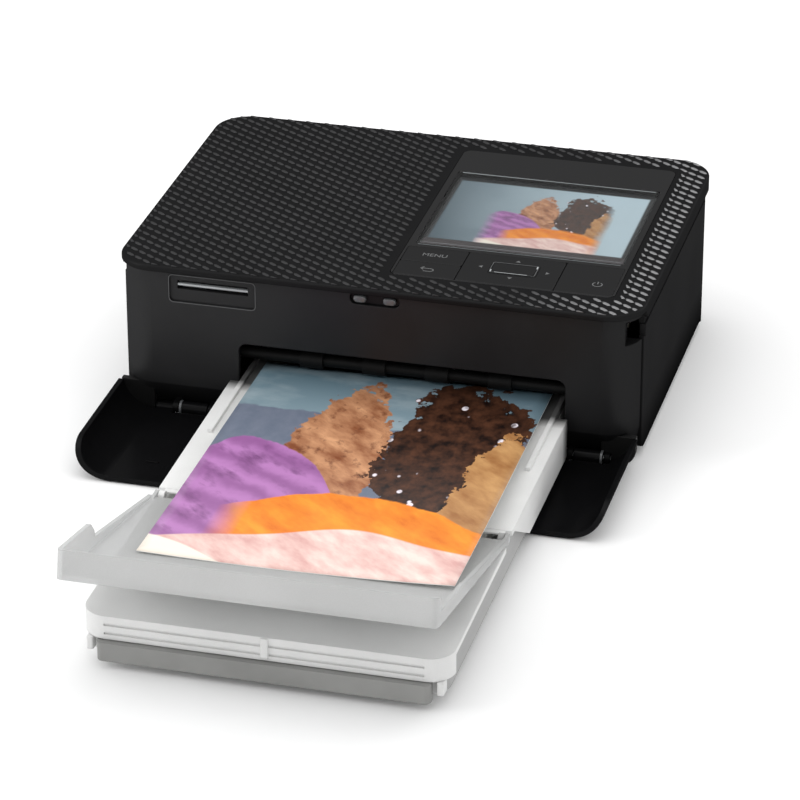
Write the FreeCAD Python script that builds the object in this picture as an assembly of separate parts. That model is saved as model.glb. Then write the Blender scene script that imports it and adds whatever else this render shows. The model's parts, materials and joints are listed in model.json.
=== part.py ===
import FreeCAD, Part
import math
import os

# Compact photo printer with a paper cassette, in millimetres.
# X runs to the right seen from the front, Y runs into the printer, Z is up.
# While building, Y is 0 at the front of the closed printer. At the end everything
# is moved so that the origin is the bottom centre of the whole model.

os.makedirs("parts", exist_ok=True)
Vec = FreeCAD.Vector

# Body
body_width = 182.2
body_depth = 133.0
body_height = 57.6
body_corner = 13.0
wall = 2.0
crown_thickness = 2.1
crown_edge = 0.9
lip_drop = 5.6
lip_wall = 1.6
skirt_drop = 8.1
side_step = 1.2
back_step = 0.6
fascia_front = 2.1
foot_height = 2.0
undercut_height = 10.5
undercut_inset = 6.0
undercut_side = 2.0
fascia_wrap = 9.7
floor_thickness = 1.8

# Gaps
seam = 0.3
run_gap = 0.05
fit_gap = 0.02
key_gap = 0.25
overrun = 3.0

# Control panel
panel_width = 77.5
panel_side = 11.6
panel_front = 14.0
panel_rear = 11.0
panel_corner = 3.0
panel_gap = 0.2
panel_flange = 1.6
panel_flange_thickness = 1.4
glass_inset = 2.6
glass_side = 2.2
glass_front = 40.5
glass_rear = 30.0
glass_thickness = 1.2
glass_ledge = 1.0
module_thickness = 3.8
key_thickness = 1.4
key_row_front = 14.9
key_row_back = 37.6
left_seam_step = 22.5
right_seam_step = 56.4
key_split = 26.0
centre_key_step = 32.0
centre_key_width = 16.6
centre_key_front = 23.0
centre_key_back = 31.8
key_corner = 0.8
pad_crown = 0.3
stem_radius = 1.6
stem_length = 3.4
key_travel = 0.5
dome_radius = 2.0
dome_height = 0.7
board_thickness = 1.2
post_size = 2.4

# Card slot and flap catch in the fascia
card_side = 19.3
card_width = 30.8
card_low_drop = 13.8
card_high_drop = 3.4
card_recess = 0.8
card_corner = 1.6
slot_inset = 3.0
slot_side = 2.9
slot_low_drop = 8.9
slot_high_drop = 5.8
card_socket_length = 28.0
card_socket_rim = 1.2
card_board_thickness = 1.4
card_board_margin = 4.0
catch_left = -8.2
catch_right = 9.1
catch_low_drop = 6.9
catch_high_drop = 2.6
catch_recess = 1.2
catch_plate_thickness = 0.8

# Finger notch at the ribbon door
notch_depth = 6.4
notch_front = 4.8
notch_back = 14.6
notch_low_drop = 12.6
notch_high_drop = 4.0
notch_wall = 1.2

# Ribbon door
door_thickness = 2.2
panel_proud = 0.6
door_front_gap = 1.9
door_low = 2.6
door_pin_radius = 0.8
door_nose_radius = 1.9
door_axis_step = 15.0
door_corner = 3.0

# Front flap
flap_thickness = 1.8
flap_axis_y = 3.2
flap_axis_z = 3.5
flap_reach = 52.0
flap_wing = 11.5
flap_corner = 10.0
knuckle_length = 10.0
knuckle_left = -69.0
knuckle_right = 69.5
knuckle_radius = 2.2
ear_radius = 1.9
ear_width = 2.0
ear_root = 5.6
flap_pin_radius = 1.0

# Cassette
cassette_centre = 9.4
cassette_half = 58.6
cassette_inner_half = 54.8
mouth_half = 56.8
mouth_top = 31.0
mouth_corner = 3.0
cassette_front = -163.0
cassette_back = 42.0
shoulder = -2.0
cassette_bottom = 4.4
cassette_floor = 1.6
cassette_wall = 2.0
base_inset = 1.5
base_top = 17.0
base_rear_top = 15.4
front_corner = 8.0
lid_low = 15.5
lid_top = 17.4
lid_back = -90.0
lid_wall = 1.3
lid_face_low = 9.3
groove_low = 11.0
groove_high = 14.0
groove_depth = 0.5
groove_width = 0.7
strip_left = -43.5
strip_right = 62.3
strip_low = 2.6
strip_high = 9.0
strip_front = -165.0
strip_corner = 2.0
inner_low = 17.3
inner_top = 18.9
inner_front = -81.8
rail_top = 20.0
rail_width = 1.6
skirt_low = 5.0
skirt_wall = 1.2
skirt_top_y = -78.5
skirt_bottom_y = -57.0
window_half = 16.0
window_front = 12.0

# Outer cover, tilted up as the output tray
cover_axis_y = -86.0
cover_axis_z = 18.0
cover_tilt = 12.2
cover_length = 94.4
cover_rise = -0.6
cover_plate = 1.2
cover_start = -2.7
cover_rim = 1.5
rim_start_height = 0.4
rim_end_height = 2.9
rim_step = 61.0
corner_step = 64.5
corner_low_height = 5.4
corner_height = 8.2
cover_corner = 2.0
cover_overhang = 1.5
cover_right_height = 3.4
cover_ear_radius = 2.0
cover_neck = 6.0
cover_pin_radius = 1.0
cover_pin_length = 3.2

# Paper and print
sheet_width = 100.0
sheet_thickness = 0.25
print_back = 16.0
print_front = -141.4
print_back_z = 19.25
print_front_z = 31.15
print_skew = 1.9
stack_front = -138.0
stack_back = 39.0
stack_top = 15.7
stack_thickness = 5.0
lift_thickness = 0.8
lift_front = -134.0
lift_margin = 4.0
lift_pin_radius = 0.9
spring_radius = 4.0
spring_wall = 0.9
spring_y = 18.0

# Chassis and paper path
chassis_left = -55.5
chassis_right = 74.0
chassis_sheet = 1.5
chassis_front = 7.6
chassis_rear = 19.0
chassis_low_drop = 12.6
chassis_high_drop = 8.0
chassis_step = 36.5
cross_tall = 12.0
cross_drop = 15.6
paper_level = 22.2
guide_thickness = 0.5
guide_drop = 0.2
guide_side = 3.0
guide_front = 46.0
guide_rear = 5.0
window_margin = 1.2
roller_left = -46.0
roller_right = 65.0
shaft_radius = 2.0
tyre_half = 10.0

# Gears
gear_module = 0.8
large_teeth = 24
small_teeth = 12
take_up_teeth = 18
gear_width = 3.6
gear_side_gap = 1.2
gear_outer = 0.8
gear_root = 1.15
tooth_root_share = 0.52
tooth_tip_share = 0.2
tooth_middle = 0.5
platen_y = 62.0
platen_radius = 6.0
capstan_radius = 3.0
pinch_radius = 3.5
pinch_gap = 0.7
pick_z = 25.0
pick_radius = 8.7
discharge_z = 24.1
discharge_radius = 3.0
discharge_ring = 8.0
discharge_shares = (-0.6, -0.2, 0.2, 0.6)

# Ribbon cartridge
supply_y = 46.0
take_up_y = 84.0
spool_z = 37.2
tube_radius = 10.5
take_up_tube_radius = 9.5
tube_wall = 1.1
spool_core = 4.0
winding_radius = 8.6
take_up_winding = 6.0
journal_radius = 3.0
winding_end = 3.0
cartridge_end = 3.0
grip_side = 5.1
film_thickness = 0.2
film_exit = 1.4

# Head
head_half = 50.0
head_front = 60.0
head_back = 66.4
head_low = 24.2
head_split = 27.0
sink_front = 59.6
sink_back = 67.4
sink_fins = 12
arm_side = 8.0
arm_margin = 3.0
arm_low_drop = 9.7
arm_high_drop = 8.3
head_pivot_rear = 29.0
head_pivot_drop = 11.2
head_boss = 2.8

# Motor, boards and sockets
motor_radius = 9.0
motor_length = 12.0
motor_flange = 1.2
motor_shaft = 1.0
standoff_radius = 1.8
board_side = 9.4
main_board_thickness = 1.6
main_board_front = 18.0
main_board_rear = 12.0
main_board_low = 3.9
main_board_drop = 13.6
dc_low = 30.0
dc_size = 10.0
dc_depth = 11.0
dc_bore = 3.0
dc_pin = 0.8
usb_low = 15.0
usb_tall = 8.6
usb_thick = 4.4
usb_depth = 9.5
usb_wall = 0.5
usb_tongue = 0.9
port_gap = 0.4

# Fan and back cover openings
fan_x = 30.0
fan_size = 20.0
fan_thick = 7.0
fan_drop = 28.4
fan_bore = 9.0
fan_hub = 3.4
fan_blade = 0.8
fan_blades = 7
fan_twist = 30.0
fan_bar = 2.0
vent_count = 9
vent_pitch = 3.2
vent_width = 1.6
vent_low_drop = 26.6
vent_high_drop = 10.6
rear_slot_half = 52.0
rear_slot_low = 20.6
rear_slot_high = 26.2

# Eject lever
lever_y = 30.6
lever_z = 28.0
lever_tall = 15.0
lever_width = 3.0
lever_thick = 2.0
lever_boss = 2.6
lever_pin = 1.1

# Feet, screws and rails
foot_radius = 6.0
foot_side = 17.1
foot_front = 20.0
foot_rear = 17.0
screw_head = 2.6
screw_head_depth = 1.1
screw_radius = 1.25
screw_length = 7.0
boss_radius = 3.2
boss_height = 8.0
screw_left_side = 23.1
screw_right_side = 10.1
screw_front = 34.0
screw_rear = 33.0
upstand_top = 12.0
rail_wall = 1.6
rail_high = 14.0

# Sizes worked out from those above
half_width = body_width / 2
side_x = half_width - side_step
panel_right = half_width - panel_side
panel_left = panel_right - panel_width
panel_back = body_depth - panel_rear
glass_left = panel_left + glass_inset
glass_right = panel_right - glass_side
glass_back = body_depth - glass_rear
left_seam = panel_left + left_seam_step
right_seam = panel_left + right_seam_step
centre_key_left = panel_left + centre_key_step
centre_key_right = centre_key_left + centre_key_width
card_left = -half_width + card_side
card_right = card_left + card_width
card_low = body_height - card_low_drop
card_high = body_height - card_high_drop
slot_left = card_left + slot_inset
slot_right = card_right - slot_side
slot_low = body_height - slot_low_drop
slot_high = body_height - slot_high_drop
catch_low = body_height - catch_low_drop
catch_high = body_height - catch_high_drop
notch_low = body_height - notch_low_drop
notch_high = body_height - notch_high_drop
door_axis_y = body_depth - door_axis_step
chassis_back = body_depth - chassis_rear
chassis_low_top = body_height - chassis_low_drop
chassis_high_top = body_height - chassis_high_drop
chassis_step_y = body_depth - chassis_step
cross_high = body_height - cross_drop
cross_low = cross_high - cross_tall
guide_back = body_depth - guide_rear
cartridge_grip = half_width - grip_side
arm_low = body_height - arm_low_drop
arm_high = body_height - arm_high_drop
head_pivot_y = body_depth - head_pivot_rear
head_pivot_z = body_height - head_pivot_drop
board_x = -side_x + board_side
main_board_back = body_depth - main_board_rear
main_board_high = body_height - main_board_drop
fan_low = body_height - fan_drop
vent_low = body_height - vent_low_drop
vent_high = body_height - vent_high_drop
foot_x = half_width - foot_side
foot_back = body_depth - foot_rear
screw_left = -half_width + screw_left_side
screw_right = half_width - screw_right_side
screw_back = body_depth - screw_rear
crown_bottom = body_height - crown_thickness
lip_bottom = body_height - lip_drop
skirt_bottom = body_height - skirt_drop
back_y = body_depth - back_step
undercut_top = foot_height + undercut_height
fascia_end = fascia_front + fascia_wrap
panel_x = side_x + panel_proud
door_inner = panel_x - door_thickness
door_axis_x = panel_x - door_nose_radius
door_end_y = door_axis_y + door_nose_radius
back_cover_front = door_end_y + seam
door_front = fascia_end + seam
floor_top = foot_height + floor_thickness
flange_low = crown_bottom - panel_gap - panel_flange_thickness
glass_low = body_height - glass_thickness
module_top = glass_low - panel_gap
key_low = body_height - key_thickness
stem_low = key_low - stem_length
dome_top = stem_low - key_travel - key_gap / 2
key_board_top = dome_top - dome_height
flap_outer_z = flap_axis_z - flap_axis_y
mouth_left = cassette_centre - mouth_half
mouth_right = cassette_centre + mouth_half
outer_left = cassette_centre - cassette_half
outer_right = cassette_centre + cassette_half
cover_left = outer_left - cover_overhang
inner_left = cassette_centre - cassette_inner_half
inner_right = cassette_centre + cassette_inner_half
bay_floor = cassette_bottom + cassette_floor
lift_top = stack_top - stack_thickness
lift_low = lift_top - lift_thickness
gear_right = chassis_left - chassis_sheet - gear_side_gap
gear_left = gear_right - gear_width
pair_large = gear_module * large_teeth
pair_mixed = gear_module * (large_teeth + small_teeth) / 2
pair_small = gear_module * (take_up_teeth + small_teeth) / 2
platen_z = paper_level - platen_radius
capstan_z = paper_level - capstan_radius
capstan_y = platen_y + math.sqrt((2 * pair_large) ** 2 - (capstan_z - platen_z) ** 2)
pick_y = platen_y - math.sqrt((2 * pair_large) ** 2 - (pick_z - platen_z) ** 2)
discharge_y = pick_y - math.sqrt(pair_mixed ** 2 - (pick_z - discharge_z) ** 2)
pinch_z = paper_level + pinch_gap + pinch_radius
guide_top = paper_level - guide_drop
card_board_top = slot_low - card_socket_rim


def box(x0, x1, y0, y1, z0, z1):
    return Part.makeBox(x1 - x0, y1 - y0, z1 - z0, Vec(x0, y0, z0))


def cylinder_x(x0, x1, y, z, radius):
    return Part.makeCylinder(radius, x1 - x0, Vec(x0, y, z), Vec(1, 0, 0))


def cylinder_y(y0, y1, x, z, radius):
    return Part.makeCylinder(radius, y1 - y0, Vec(x, y0, z), Vec(0, 1, 0))


def cylinder_z(z0, z1, x, y, radius):
    return Part.makeCylinder(radius, z1 - z0, Vec(x, y, z0), Vec(0, 0, 1))


def fuse(shapes):
    solid = shapes[0]
    if len(shapes) > 1:
        solid = solid.fuse(shapes[1:])
    return solid.removeSplitter()


def rounded_wire(x0, x1, y0, y1, radius, z):
    """A rectangle with round corners, drawn flat at height z."""
    half = math.sqrt(0.5) * radius
    edges = []
    corners = ((x1, y0, -1, 1), (x1, y1, -1, -1), (x0, y1, 1, -1), (x0, y0, 1, 1))
    ends = []
    for x, y, sx, sy in corners:
        centre = Vec(x + sx * radius, y + sy * radius, z)
        side_a = Vec(x + sx * radius, y, z)
        side_b = Vec(x, y + sy * radius, z)
        middle = Vec(centre.x - sx * half, centre.y - sy * half, z)
        first, last = (side_a, side_b) if sx * sy < 0 else (side_b, side_a)
        ends.append((first, last))
        edges.append(Part.Arc(first, middle, last).toShape())
    for i in range(4):
        edges.append(Part.LineSegment(ends[i][1], ends[(i + 1) % 4][0]).toShape())
    return Part.Wire(Part.__sortEdges__(edges))


def prism(x0, x1, y0, y1, z0, z1, radius):
    face = Part.Face(rounded_wire(x0, x1, y0, y1, radius, z0))
    return face.extrude(Vec(0, 0, z1 - z0))


def window(x0, x1, z0, z1, y0, y1, radius):
    """A rounded rectangle in the XZ plane, run along Y from y0 to y1."""
    solid = prism(x0, x1, -z1, -z0, 0, y1 - y0, radius)
    solid.rotate(Vec(0, 0, 0), Vec(1, 0, 0), -90)
    solid.translate(Vec(0, y0, 0))
    return solid


def polygon_prism(points, x0, x1):
    """An outline of (y, z) points in the plane x0, run along X to x1."""
    corners = [Vec(x0, y, z) for y, z in points]
    face = Part.Face(Part.makePolygon(corners + [corners[0]]))
    return face.extrude(Vec(x1 - x0, 0, 0))


def fillet_near(solid, radius, wanted):
    """Rounds the edges whose middle point and ends satisfy the given test."""
    chosen = []
    for edge in solid.Edges:
        middle = edge.valueAt((edge.FirstParameter + edge.LastParameter) / 2)
        if wanted(middle) and all(wanted(v.Point) for v in edge.Vertexes):
            chosen.append(edge)
    return solid.makeFillet(radius, chosen)


def envelope(inset, z_high):
    """The outer form below the top cover, drawn in by an inset, with its undercut."""
    x1 = side_x - inset
    y0 = fascia_front + inset
    y1 = back_y - inset
    radius = body_corner - side_step - inset
    low_radius = radius - undercut_inset
    upper = prism(-x1, x1, y0, y1, undercut_top, z_high, radius)
    low = rounded_wire(-x1 + undercut_side, x1 - undercut_side, y0 + undercut_inset,
                       y1 - undercut_inset, max(low_radius, seam), foot_height)
    high = rounded_wire(-x1, x1, y0, y1, radius, undercut_top)
    lower = Part.makeLoft([low, high], True, True)
    return fuse([upper, lower])


def shell(z_high):
    return envelope(0, z_high).cut(envelope(wall, z_high))


def notch_space():
    return box(half_width - notch_depth, half_width + overrun, notch_front, notch_back,
               notch_low, notch_high)


def hinge_ear_starts():
    """The left ends of the four ears that hold the flap's two pins."""
    starts = []
    for knuckle in (knuckle_left, knuckle_right):
        starts.append(knuckle - seam - ear_width)
        starts.append(knuckle + knuckle_length + seam)
    return starts


def front_fascia():
    top = crown_bottom - seam
    front = box(-half_width, half_width, 0, fascia_end, 0, body_height)
    solid = shell(top).common(front)
    pocket = box(half_width - notch_depth - notch_wall, half_width,
                 notch_front - notch_wall, fascia_end, notch_low - notch_wall, top)
    solid = solid.fuse(pocket.common(envelope(0, top)))
    for start in hinge_ear_starts():
        ear = cylinder_x(start, start + ear_width, flap_axis_y, flap_axis_z, ear_radius)
        root = box(start, start + ear_width, flap_axis_y, flap_axis_y + ear_root,
                   foot_height + seam, flap_axis_z + ear_radius)
        solid = solid.fuse([ear, root])
    backing = box(card_left, card_right, fascia_front + wall / 2,
                  fascia_front + wall + card_recess, card_low, card_high)
    solid = solid.fuse(backing)
    catch_back = window(catch_left - wall, catch_right + wall, catch_low - wall, top,
                        fascia_front + wall / 2, fascia_front + wall + catch_recess,
                        catch_recess)
    solid = solid.fuse(catch_back)
    mouth = window(mouth_left, mouth_right, -mouth_top, mouth_top,
                   -overrun, fascia_end + overrun, mouth_corner)
    card = window(card_left, card_right, card_low, card_high,
                  0, fascia_front + card_recess, card_corner)
    slot = box(slot_left, slot_right, 0, fascia_end, slot_low, slot_high)
    catch = window(catch_left, catch_right, catch_low, catch_high, 0,
                   fascia_front + catch_recess + catch_plate_thickness,
                   (catch_high - catch_low) / 2 - fit_gap)
    solid = solid.cut([mouth, card, slot, catch, notch_space()])
    for start in hinge_ear_starts():
        bore = cylinder_x(start - overrun / 10, start + ear_width + overrun / 10,
                          flap_axis_y, flap_axis_z, flap_pin_radius + fit_gap)
        solid = solid.cut(bore)
    return solid.removeSplitter()


def catch_plate():
    y0 = fascia_front + catch_recess
    radius = (catch_high - catch_low) / 2 - panel_gap
    plate = window(catch_left + panel_gap, catch_right - panel_gap, catch_low + panel_gap,
                   catch_high - panel_gap, y0, y0 + catch_plate_thickness, radius - fit_gap)
    middle = (catch_left + catch_right) / 2
    reach = (catch_right - catch_left) / 4
    z = (catch_low + catch_high) / 2
    lobes = []
    for side in (-1, 1):
        lobes.append(cylinder_y(y0 - catch_recess / 2, y0 + fit_gap,
                                middle + side * reach, z, radius - panel_gap))
    return fuse([plate] + lobes)


def flap_hinge_pins():
    pins = []
    for knuckle in (knuckle_left, knuckle_right):
        pins.append(cylinder_x(knuckle - seam - ear_width,
                               knuckle + knuckle_length + seam + ear_width,
                               flap_axis_y, flap_axis_z, flap_pin_radius))
    return Part.makeCompound(pins)


def front_flap():
    low = flap_outer_z
    far = flap_axis_y - flap_reach
    inner = body_corner - flap_thickness
    tall = low + 3 * body_corner
    outer_form = window(-half_width, half_width, low, tall, far, flap_axis_y, body_corner)
    hollow = window(-half_width + flap_thickness, half_width - flap_thickness,
                    low + flap_thickness, tall + overrun, far - overrun,
                    flap_axis_y + overrun, inner)
    side_top = low + flap_wing
    keep_low = box(-half_width, half_width, far, flap_axis_y, 0, side_top)
    plate = outer_form.cut(hollow).common(keep_low)
    # The wings fall to the plate in a round corner at the far end.
    corner_z = side_top - flap_corner
    corner = box(-half_width - overrun, half_width + overrun, far - overrun,
                 far + flap_corner, corner_z, side_top + overrun)
    round_bar = cylinder_x(-half_width - overrun, half_width + overrun,
                           far + flap_corner, corner_z, flap_corner)
    plate = plate.cut(corner.cut(round_bar))
    # The hinge edge rolls a quarter turn about the axis.
    flat_half = half_width - body_corner
    roll = cylinder_x(-flat_half, flat_half, flap_axis_y, flap_axis_z, flap_axis_y)
    core = cylinder_x(-flat_half - overrun, flat_half + overrun, flap_axis_y, flap_axis_z,
                      flap_axis_y - flap_thickness)
    quarter = box(-flat_half, flat_half, flap_axis_y, flap_axis_y + body_corner,
                  0, flap_axis_z)
    solid = plate.fuse(roll.cut(core).common(quarter))
    cutters = []
    for start in hinge_ear_starts():
        cutters.append(box(start - seam, start + ear_width + seam,
                           flap_axis_y - ear_radius - seam, flap_axis_y + body_corner,
                           0, flap_axis_z + body_corner))
    solid = solid.cut(cutters)
    for knuckle in (knuckle_left, knuckle_right):
        barrel = cylinder_x(knuckle, knuckle + knuckle_length, flap_axis_y, flap_axis_z,
                            knuckle_radius)
        bore = cylinder_x(knuckle - overrun, knuckle + knuckle_length + overrun,
                          flap_axis_y, flap_axis_z, flap_pin_radius + run_gap)
        solid = solid.fuse(barrel).cut(bore)
    return solid.removeSplitter()


def base_cover():
    inset = wall + seam
    floor = envelope(inset, undercut_top + overrun).common(
        box(-half_width, half_width, 0, body_depth, foot_height, floor_top))
    side = door_inner - seam
    middle = box(-side, side, fascia_end + seam, back_cover_front - seam, foot_height,
                 floor_top)
    parts = [floor, middle]
    for left, right in ((-side, -side + wall), (side - wall, side)):
        parts.append(box(left, right, fascia_end + seam, back_cover_front - seam,
                         floor_top, upstand_top))
    rails = ((inner_left - seam - rail_wall, inner_left - seam),
             (inner_right + seam, inner_right + seam + rail_wall))
    for left, right in rails:
        parts.append(box(left, right, fascia_end + seam, cassette_back + wall,
                         floor_top, rail_high))
    ribs = ((main_board_front + wall, main_board_front + 2 * wall),
            (main_board_back - 4 * wall, main_board_back - 3 * wall))
    for y0, y1 in ribs:
        parts.append(box(-side + wall, board_x - panel_gap, y0, y1, floor_top, upstand_top))
    tab = cylinder_z(foot_height, floor_top, door_axis_x, door_axis_y, door_nose_radius)
    parts.append(tab)
    for x, y in screw_places():
        parts.append(cylinder_z(floor_top, boss_height, x, y, boss_radius))
    solid = fuse(parts)
    for x, y in screw_places():
        head = cylinder_z(0, foot_height + screw_head_depth, x, y, screw_head + panel_gap)
        hole = cylinder_z(0, boss_height + overrun, x, y, screw_radius + fit_gap)
        solid = solid.cut([head, hole])
    for x, y in foot_places():
        solid = solid.cut(cylinder_z(0, foot_height + floor_thickness / 2, x, y,
                                     foot_radius + fit_gap))
    nose_room = box(door_axis_x - door_nose_radius - seam, half_width,
                    door_axis_y - door_nose_radius - seam, body_depth, floor_top,
                    body_height)
    pin_hole = cylinder_z(0, body_height, door_axis_x, door_axis_y, door_pin_radius + fit_gap)
    return solid.cut([nose_room, pin_hole]).removeSplitter()


def screw_places():
    return [(x, y) for x in (screw_left, screw_right) for y in (screw_front, screw_back)]


def foot_places():
    return [(side * foot_x, y) for side in (-1, 1) for y in (foot_front, foot_back)]


def rubber_feet():
    feet = []
    for x, y in foot_places():
        foot = cylinder_z(0, foot_height + floor_thickness / 2, x, y, foot_radius)
        feet.append(fillet_near(foot, foot_height / 4, lambda p: p.z < foot_height / 10))
    return Part.makeCompound(feet)


def case_screws():
    screws = []
    for x, y in screw_places():
        low = foot_height + panel_gap
        head = cylinder_z(low, foot_height + screw_head_depth, x, y, screw_head)
        shank = cylinder_z(low, low + screw_length, x, y, screw_radius)
        cross = box(x - screw_head / 2, x + screw_head / 2, y - panel_gap, y + panel_gap,
                    0, low + screw_head_depth / 2)
        screws.append(fuse([head, shank]).cut(cross))
    return Part.makeCompound(screws)


def top_cover():
    crown = prism(-half_width, half_width, 0, body_depth, crown_bottom, body_height,
                  body_corner)
    crown = fillet_near(crown, crown_edge, lambda p: p.z > body_height - seam)
    lip = prism(-half_width, half_width, 0, body_depth, lip_bottom, crown_bottom, body_corner)
    lip = lip.cut(prism(-half_width + lip_wall, half_width - lip_wall, lip_wall,
                        body_depth - lip_wall, lip_bottom - overrun, crown_bottom + overrun,
                        body_corner - lip_wall))
    skirt = envelope(0, crown_bottom).cut(envelope(wall, crown_bottom))
    skirt = skirt.common(box(-half_width, half_width, 0, body_depth, skirt_bottom,
                             crown_bottom))
    behind = box(-half_width - overrun, half_width + overrun, fascia_end + seam,
                 body_depth + overrun, 0, body_height)
    rim = lip.fuse(skirt).common(behind)
    boss = box(door_axis_x - door_nose_radius, side_x, door_axis_y - door_nose_radius,
               door_axis_y + door_nose_radius, skirt_bottom, crown_bottom)
    posts = []
    for x in (card_left - card_board_margin / 2, card_right + card_board_margin / 2):
        posts.append(cylinder_z(card_board_top, crown_bottom, x,
                                fascia_front + card_socket_length, post_size / 2))
    solid = fuse([crown, rim, boss] + posts)
    hole = prism(panel_left, panel_right, panel_front, panel_back, crown_bottom - overrun,
                 body_height + overrun, panel_corner)
    pin_hole = cylinder_z(0, skirt_bottom + lip_wall, door_axis_x, door_axis_y,
                          door_pin_radius + fit_gap)
    return solid.cut([hole, pin_hole, notch_space()]).removeSplitter()


def left_side_panel():
    panel = box(-panel_x, -door_inner, door_front, back_cover_front - seam, door_low,
                skirt_bottom - seam)
    return fillet_near(panel, seam * 2, lambda p: p.x < -panel_x + fit_gap)


def ribbon_door():
    front = door_front + door_front_gap
    top = skirt_bottom - seam
    plate = box(door_inner, panel_x, front, door_axis_y, door_low, top)
    lower_front = box(door_inner - overrun, panel_x + overrun, front - overrun,
                      front + door_corner, door_low - overrun, door_low + door_corner)
    rounder = cylinder_x(door_inner - overrun, panel_x + overrun, front + door_corner,
                         door_low + door_corner, door_corner)
    plate = plate.cut(lower_front.cut(rounder))
    edge = fillet_near(plate, seam * 2,
                       lambda p: p.x > panel_x - fit_gap and p.y < door_axis_y - fit_gap)
    nose = cylinder_z(door_low, top, door_axis_x, door_axis_y, door_nose_radius)
    solid = fuse([edge, nose])
    foot_room = box(door_axis_x - 2 * door_nose_radius, half_width,
                    door_axis_y - 2 * door_nose_radius, back_cover_front,
                    0, floor_top + seam)
    pin = cylinder_z(0, body_height, door_axis_x, door_axis_y, door_pin_radius + run_gap)
    return solid.cut([foot_room, pin, notch_space()]).removeSplitter()


def door_hinge_pin():
    return cylinder_z(foot_height + panel_gap, skirt_bottom + lip_wall - panel_gap,
                      door_axis_x, door_axis_y, door_pin_radius)


def back_cover():
    top = skirt_bottom - seam
    rear = box(-half_width, half_width, back_cover_front, body_depth, 0, body_height)
    solid = shell(top).common(rear)
    cutters = []
    for i in range(vent_count):
        x = fan_x + (i - (vent_count - 1) / 2) * vent_pitch
        cutters.append(box(x - vent_width / 2, x + vent_width / 2, back_y - 2 * wall,
                           body_depth, vent_low, vent_high))
    cutters.append(window(cassette_centre - rear_slot_half, cassette_centre + rear_slot_half,
                          rear_slot_low, rear_slot_high, back_y - 2 * wall, body_depth,
                          vent_width))
    socket_x = board_x + main_board_thickness
    cutters.append(cylinder_y(back_y - 2 * wall, body_depth, socket_x + dc_size / 2,
                              dc_low + dc_size / 2, dc_bore + 2 * port_gap))
    cutters.append(window(socket_x - port_gap / 2, socket_x + usb_thick + port_gap,
                          usb_low - port_gap, usb_low + usb_tall + port_gap,
                          back_y - 2 * wall, body_depth, port_gap))
    return solid.cut(cutters).removeSplitter()


def left_edge():
    return panel_left + panel_gap + key_corner


def right_edge():
    return panel_right - panel_gap - key_corner


def control_panel():
    plate = prism(panel_left + panel_gap, panel_right - panel_gap, panel_front + panel_gap,
                  panel_back - panel_gap, flange_low, body_height, panel_corner)
    flange = prism(panel_left - panel_flange, panel_right + panel_flange,
                   panel_front - panel_flange, panel_back + panel_flange, flange_low,
                   crown_bottom - panel_gap, panel_corner)
    posts = []
    for x in (left_edge(), right_edge() - post_size):
        posts.append(box(x, x + post_size, key_row_back + key_gap,
                         key_row_back + key_gap + post_size, key_board_top, flange_low))
    solid = fuse([plate, flange] + posts)
    glass = prism(glass_left, glass_right, glass_front, glass_back, glass_low,
                  body_height + overrun, key_corner)
    opening = prism(glass_left + glass_ledge, glass_right - glass_ledge,
                    glass_front + glass_ledge, glass_back - glass_ledge,
                    flange_low - overrun, body_height, key_corner)
    deck = prism(left_edge(), right_edge(), key_row_front, key_row_back,
                 flange_low - overrun, body_height + overrun, key_corner)
    return solid.cut([glass, opening, deck]).removeSplitter()


def lcd_glass():
    return prism(glass_left + panel_gap / 2, glass_right - panel_gap / 2,
                 glass_front + panel_gap / 2, glass_back - panel_gap / 2,
                 glass_low, body_height, key_corner)


def lcd_module():
    gap = glass_ledge + panel_gap
    return prism(glass_left + gap, glass_right - gap, glass_front + gap, glass_back - gap,
                 module_top - module_thickness, module_top, key_corner)


def key_cap(x0, x1, y0, y1, stems):
    gap = key_gap / 2
    cap = prism(x0 + gap, x1 - gap, y0 + gap, y1 - gap, key_low, body_height, key_corner)
    cap = fillet_near(cap, panel_gap, lambda p: p.z > body_height - fit_gap)
    parts = [cap]
    for x, y in stems:
        parts.append(cylinder_z(stem_low, key_low, x, y, stem_radius))
    return fuse(parts)


def centre_of(a, b):
    return (a + b) / 2


def menu_stem():
    return (centre_of(left_edge(), left_seam), centre_of(key_split, key_row_back))


def back_stem():
    return (centre_of(left_edge(), left_seam), centre_of(key_row_front, key_split))


def centre_stem():
    return (centre_of(centre_key_left, centre_key_right),
            centre_of(centre_key_front, centre_key_back))


def power_stem():
    return (centre_of(right_seam, right_edge()), centre_of(key_row_front, key_row_back))


def pad_stems():
    y = centre_stem()[1]
    return [(centre_of(left_seam, centre_key_left), y),
            (centre_of(centre_key_right, right_seam), y)]


def menu_key():
    return key_cap(left_edge(), left_seam, key_split, key_row_back, [menu_stem()])


def back_key():
    return key_cap(left_edge(), left_seam, key_row_front, key_split, [back_stem()])


def power_key():
    return key_cap(right_seam, right_edge(), key_row_front, key_row_back, [power_stem()])


def nav_pad():
    pad = key_cap(left_seam, right_seam, key_row_front, key_row_back, pad_stems())
    hole = prism(centre_key_left, centre_key_right, centre_key_front, centre_key_back,
                 key_low - overrun, body_height + overrun, key_corner)
    return pad.cut(hole)


def select_key():
    key = key_cap(centre_key_left, centre_key_right, centre_key_front, centre_key_back,
                  [centre_stem()])
    raised = prism(centre_key_left + 4 * key_gap, centre_key_right - 4 * key_gap,
                   centre_key_front + 4 * key_gap, centre_key_back - 4 * key_gap,
                   body_height - panel_gap, body_height + pad_crown, key_corner)
    return fuse([key, raised])


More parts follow.
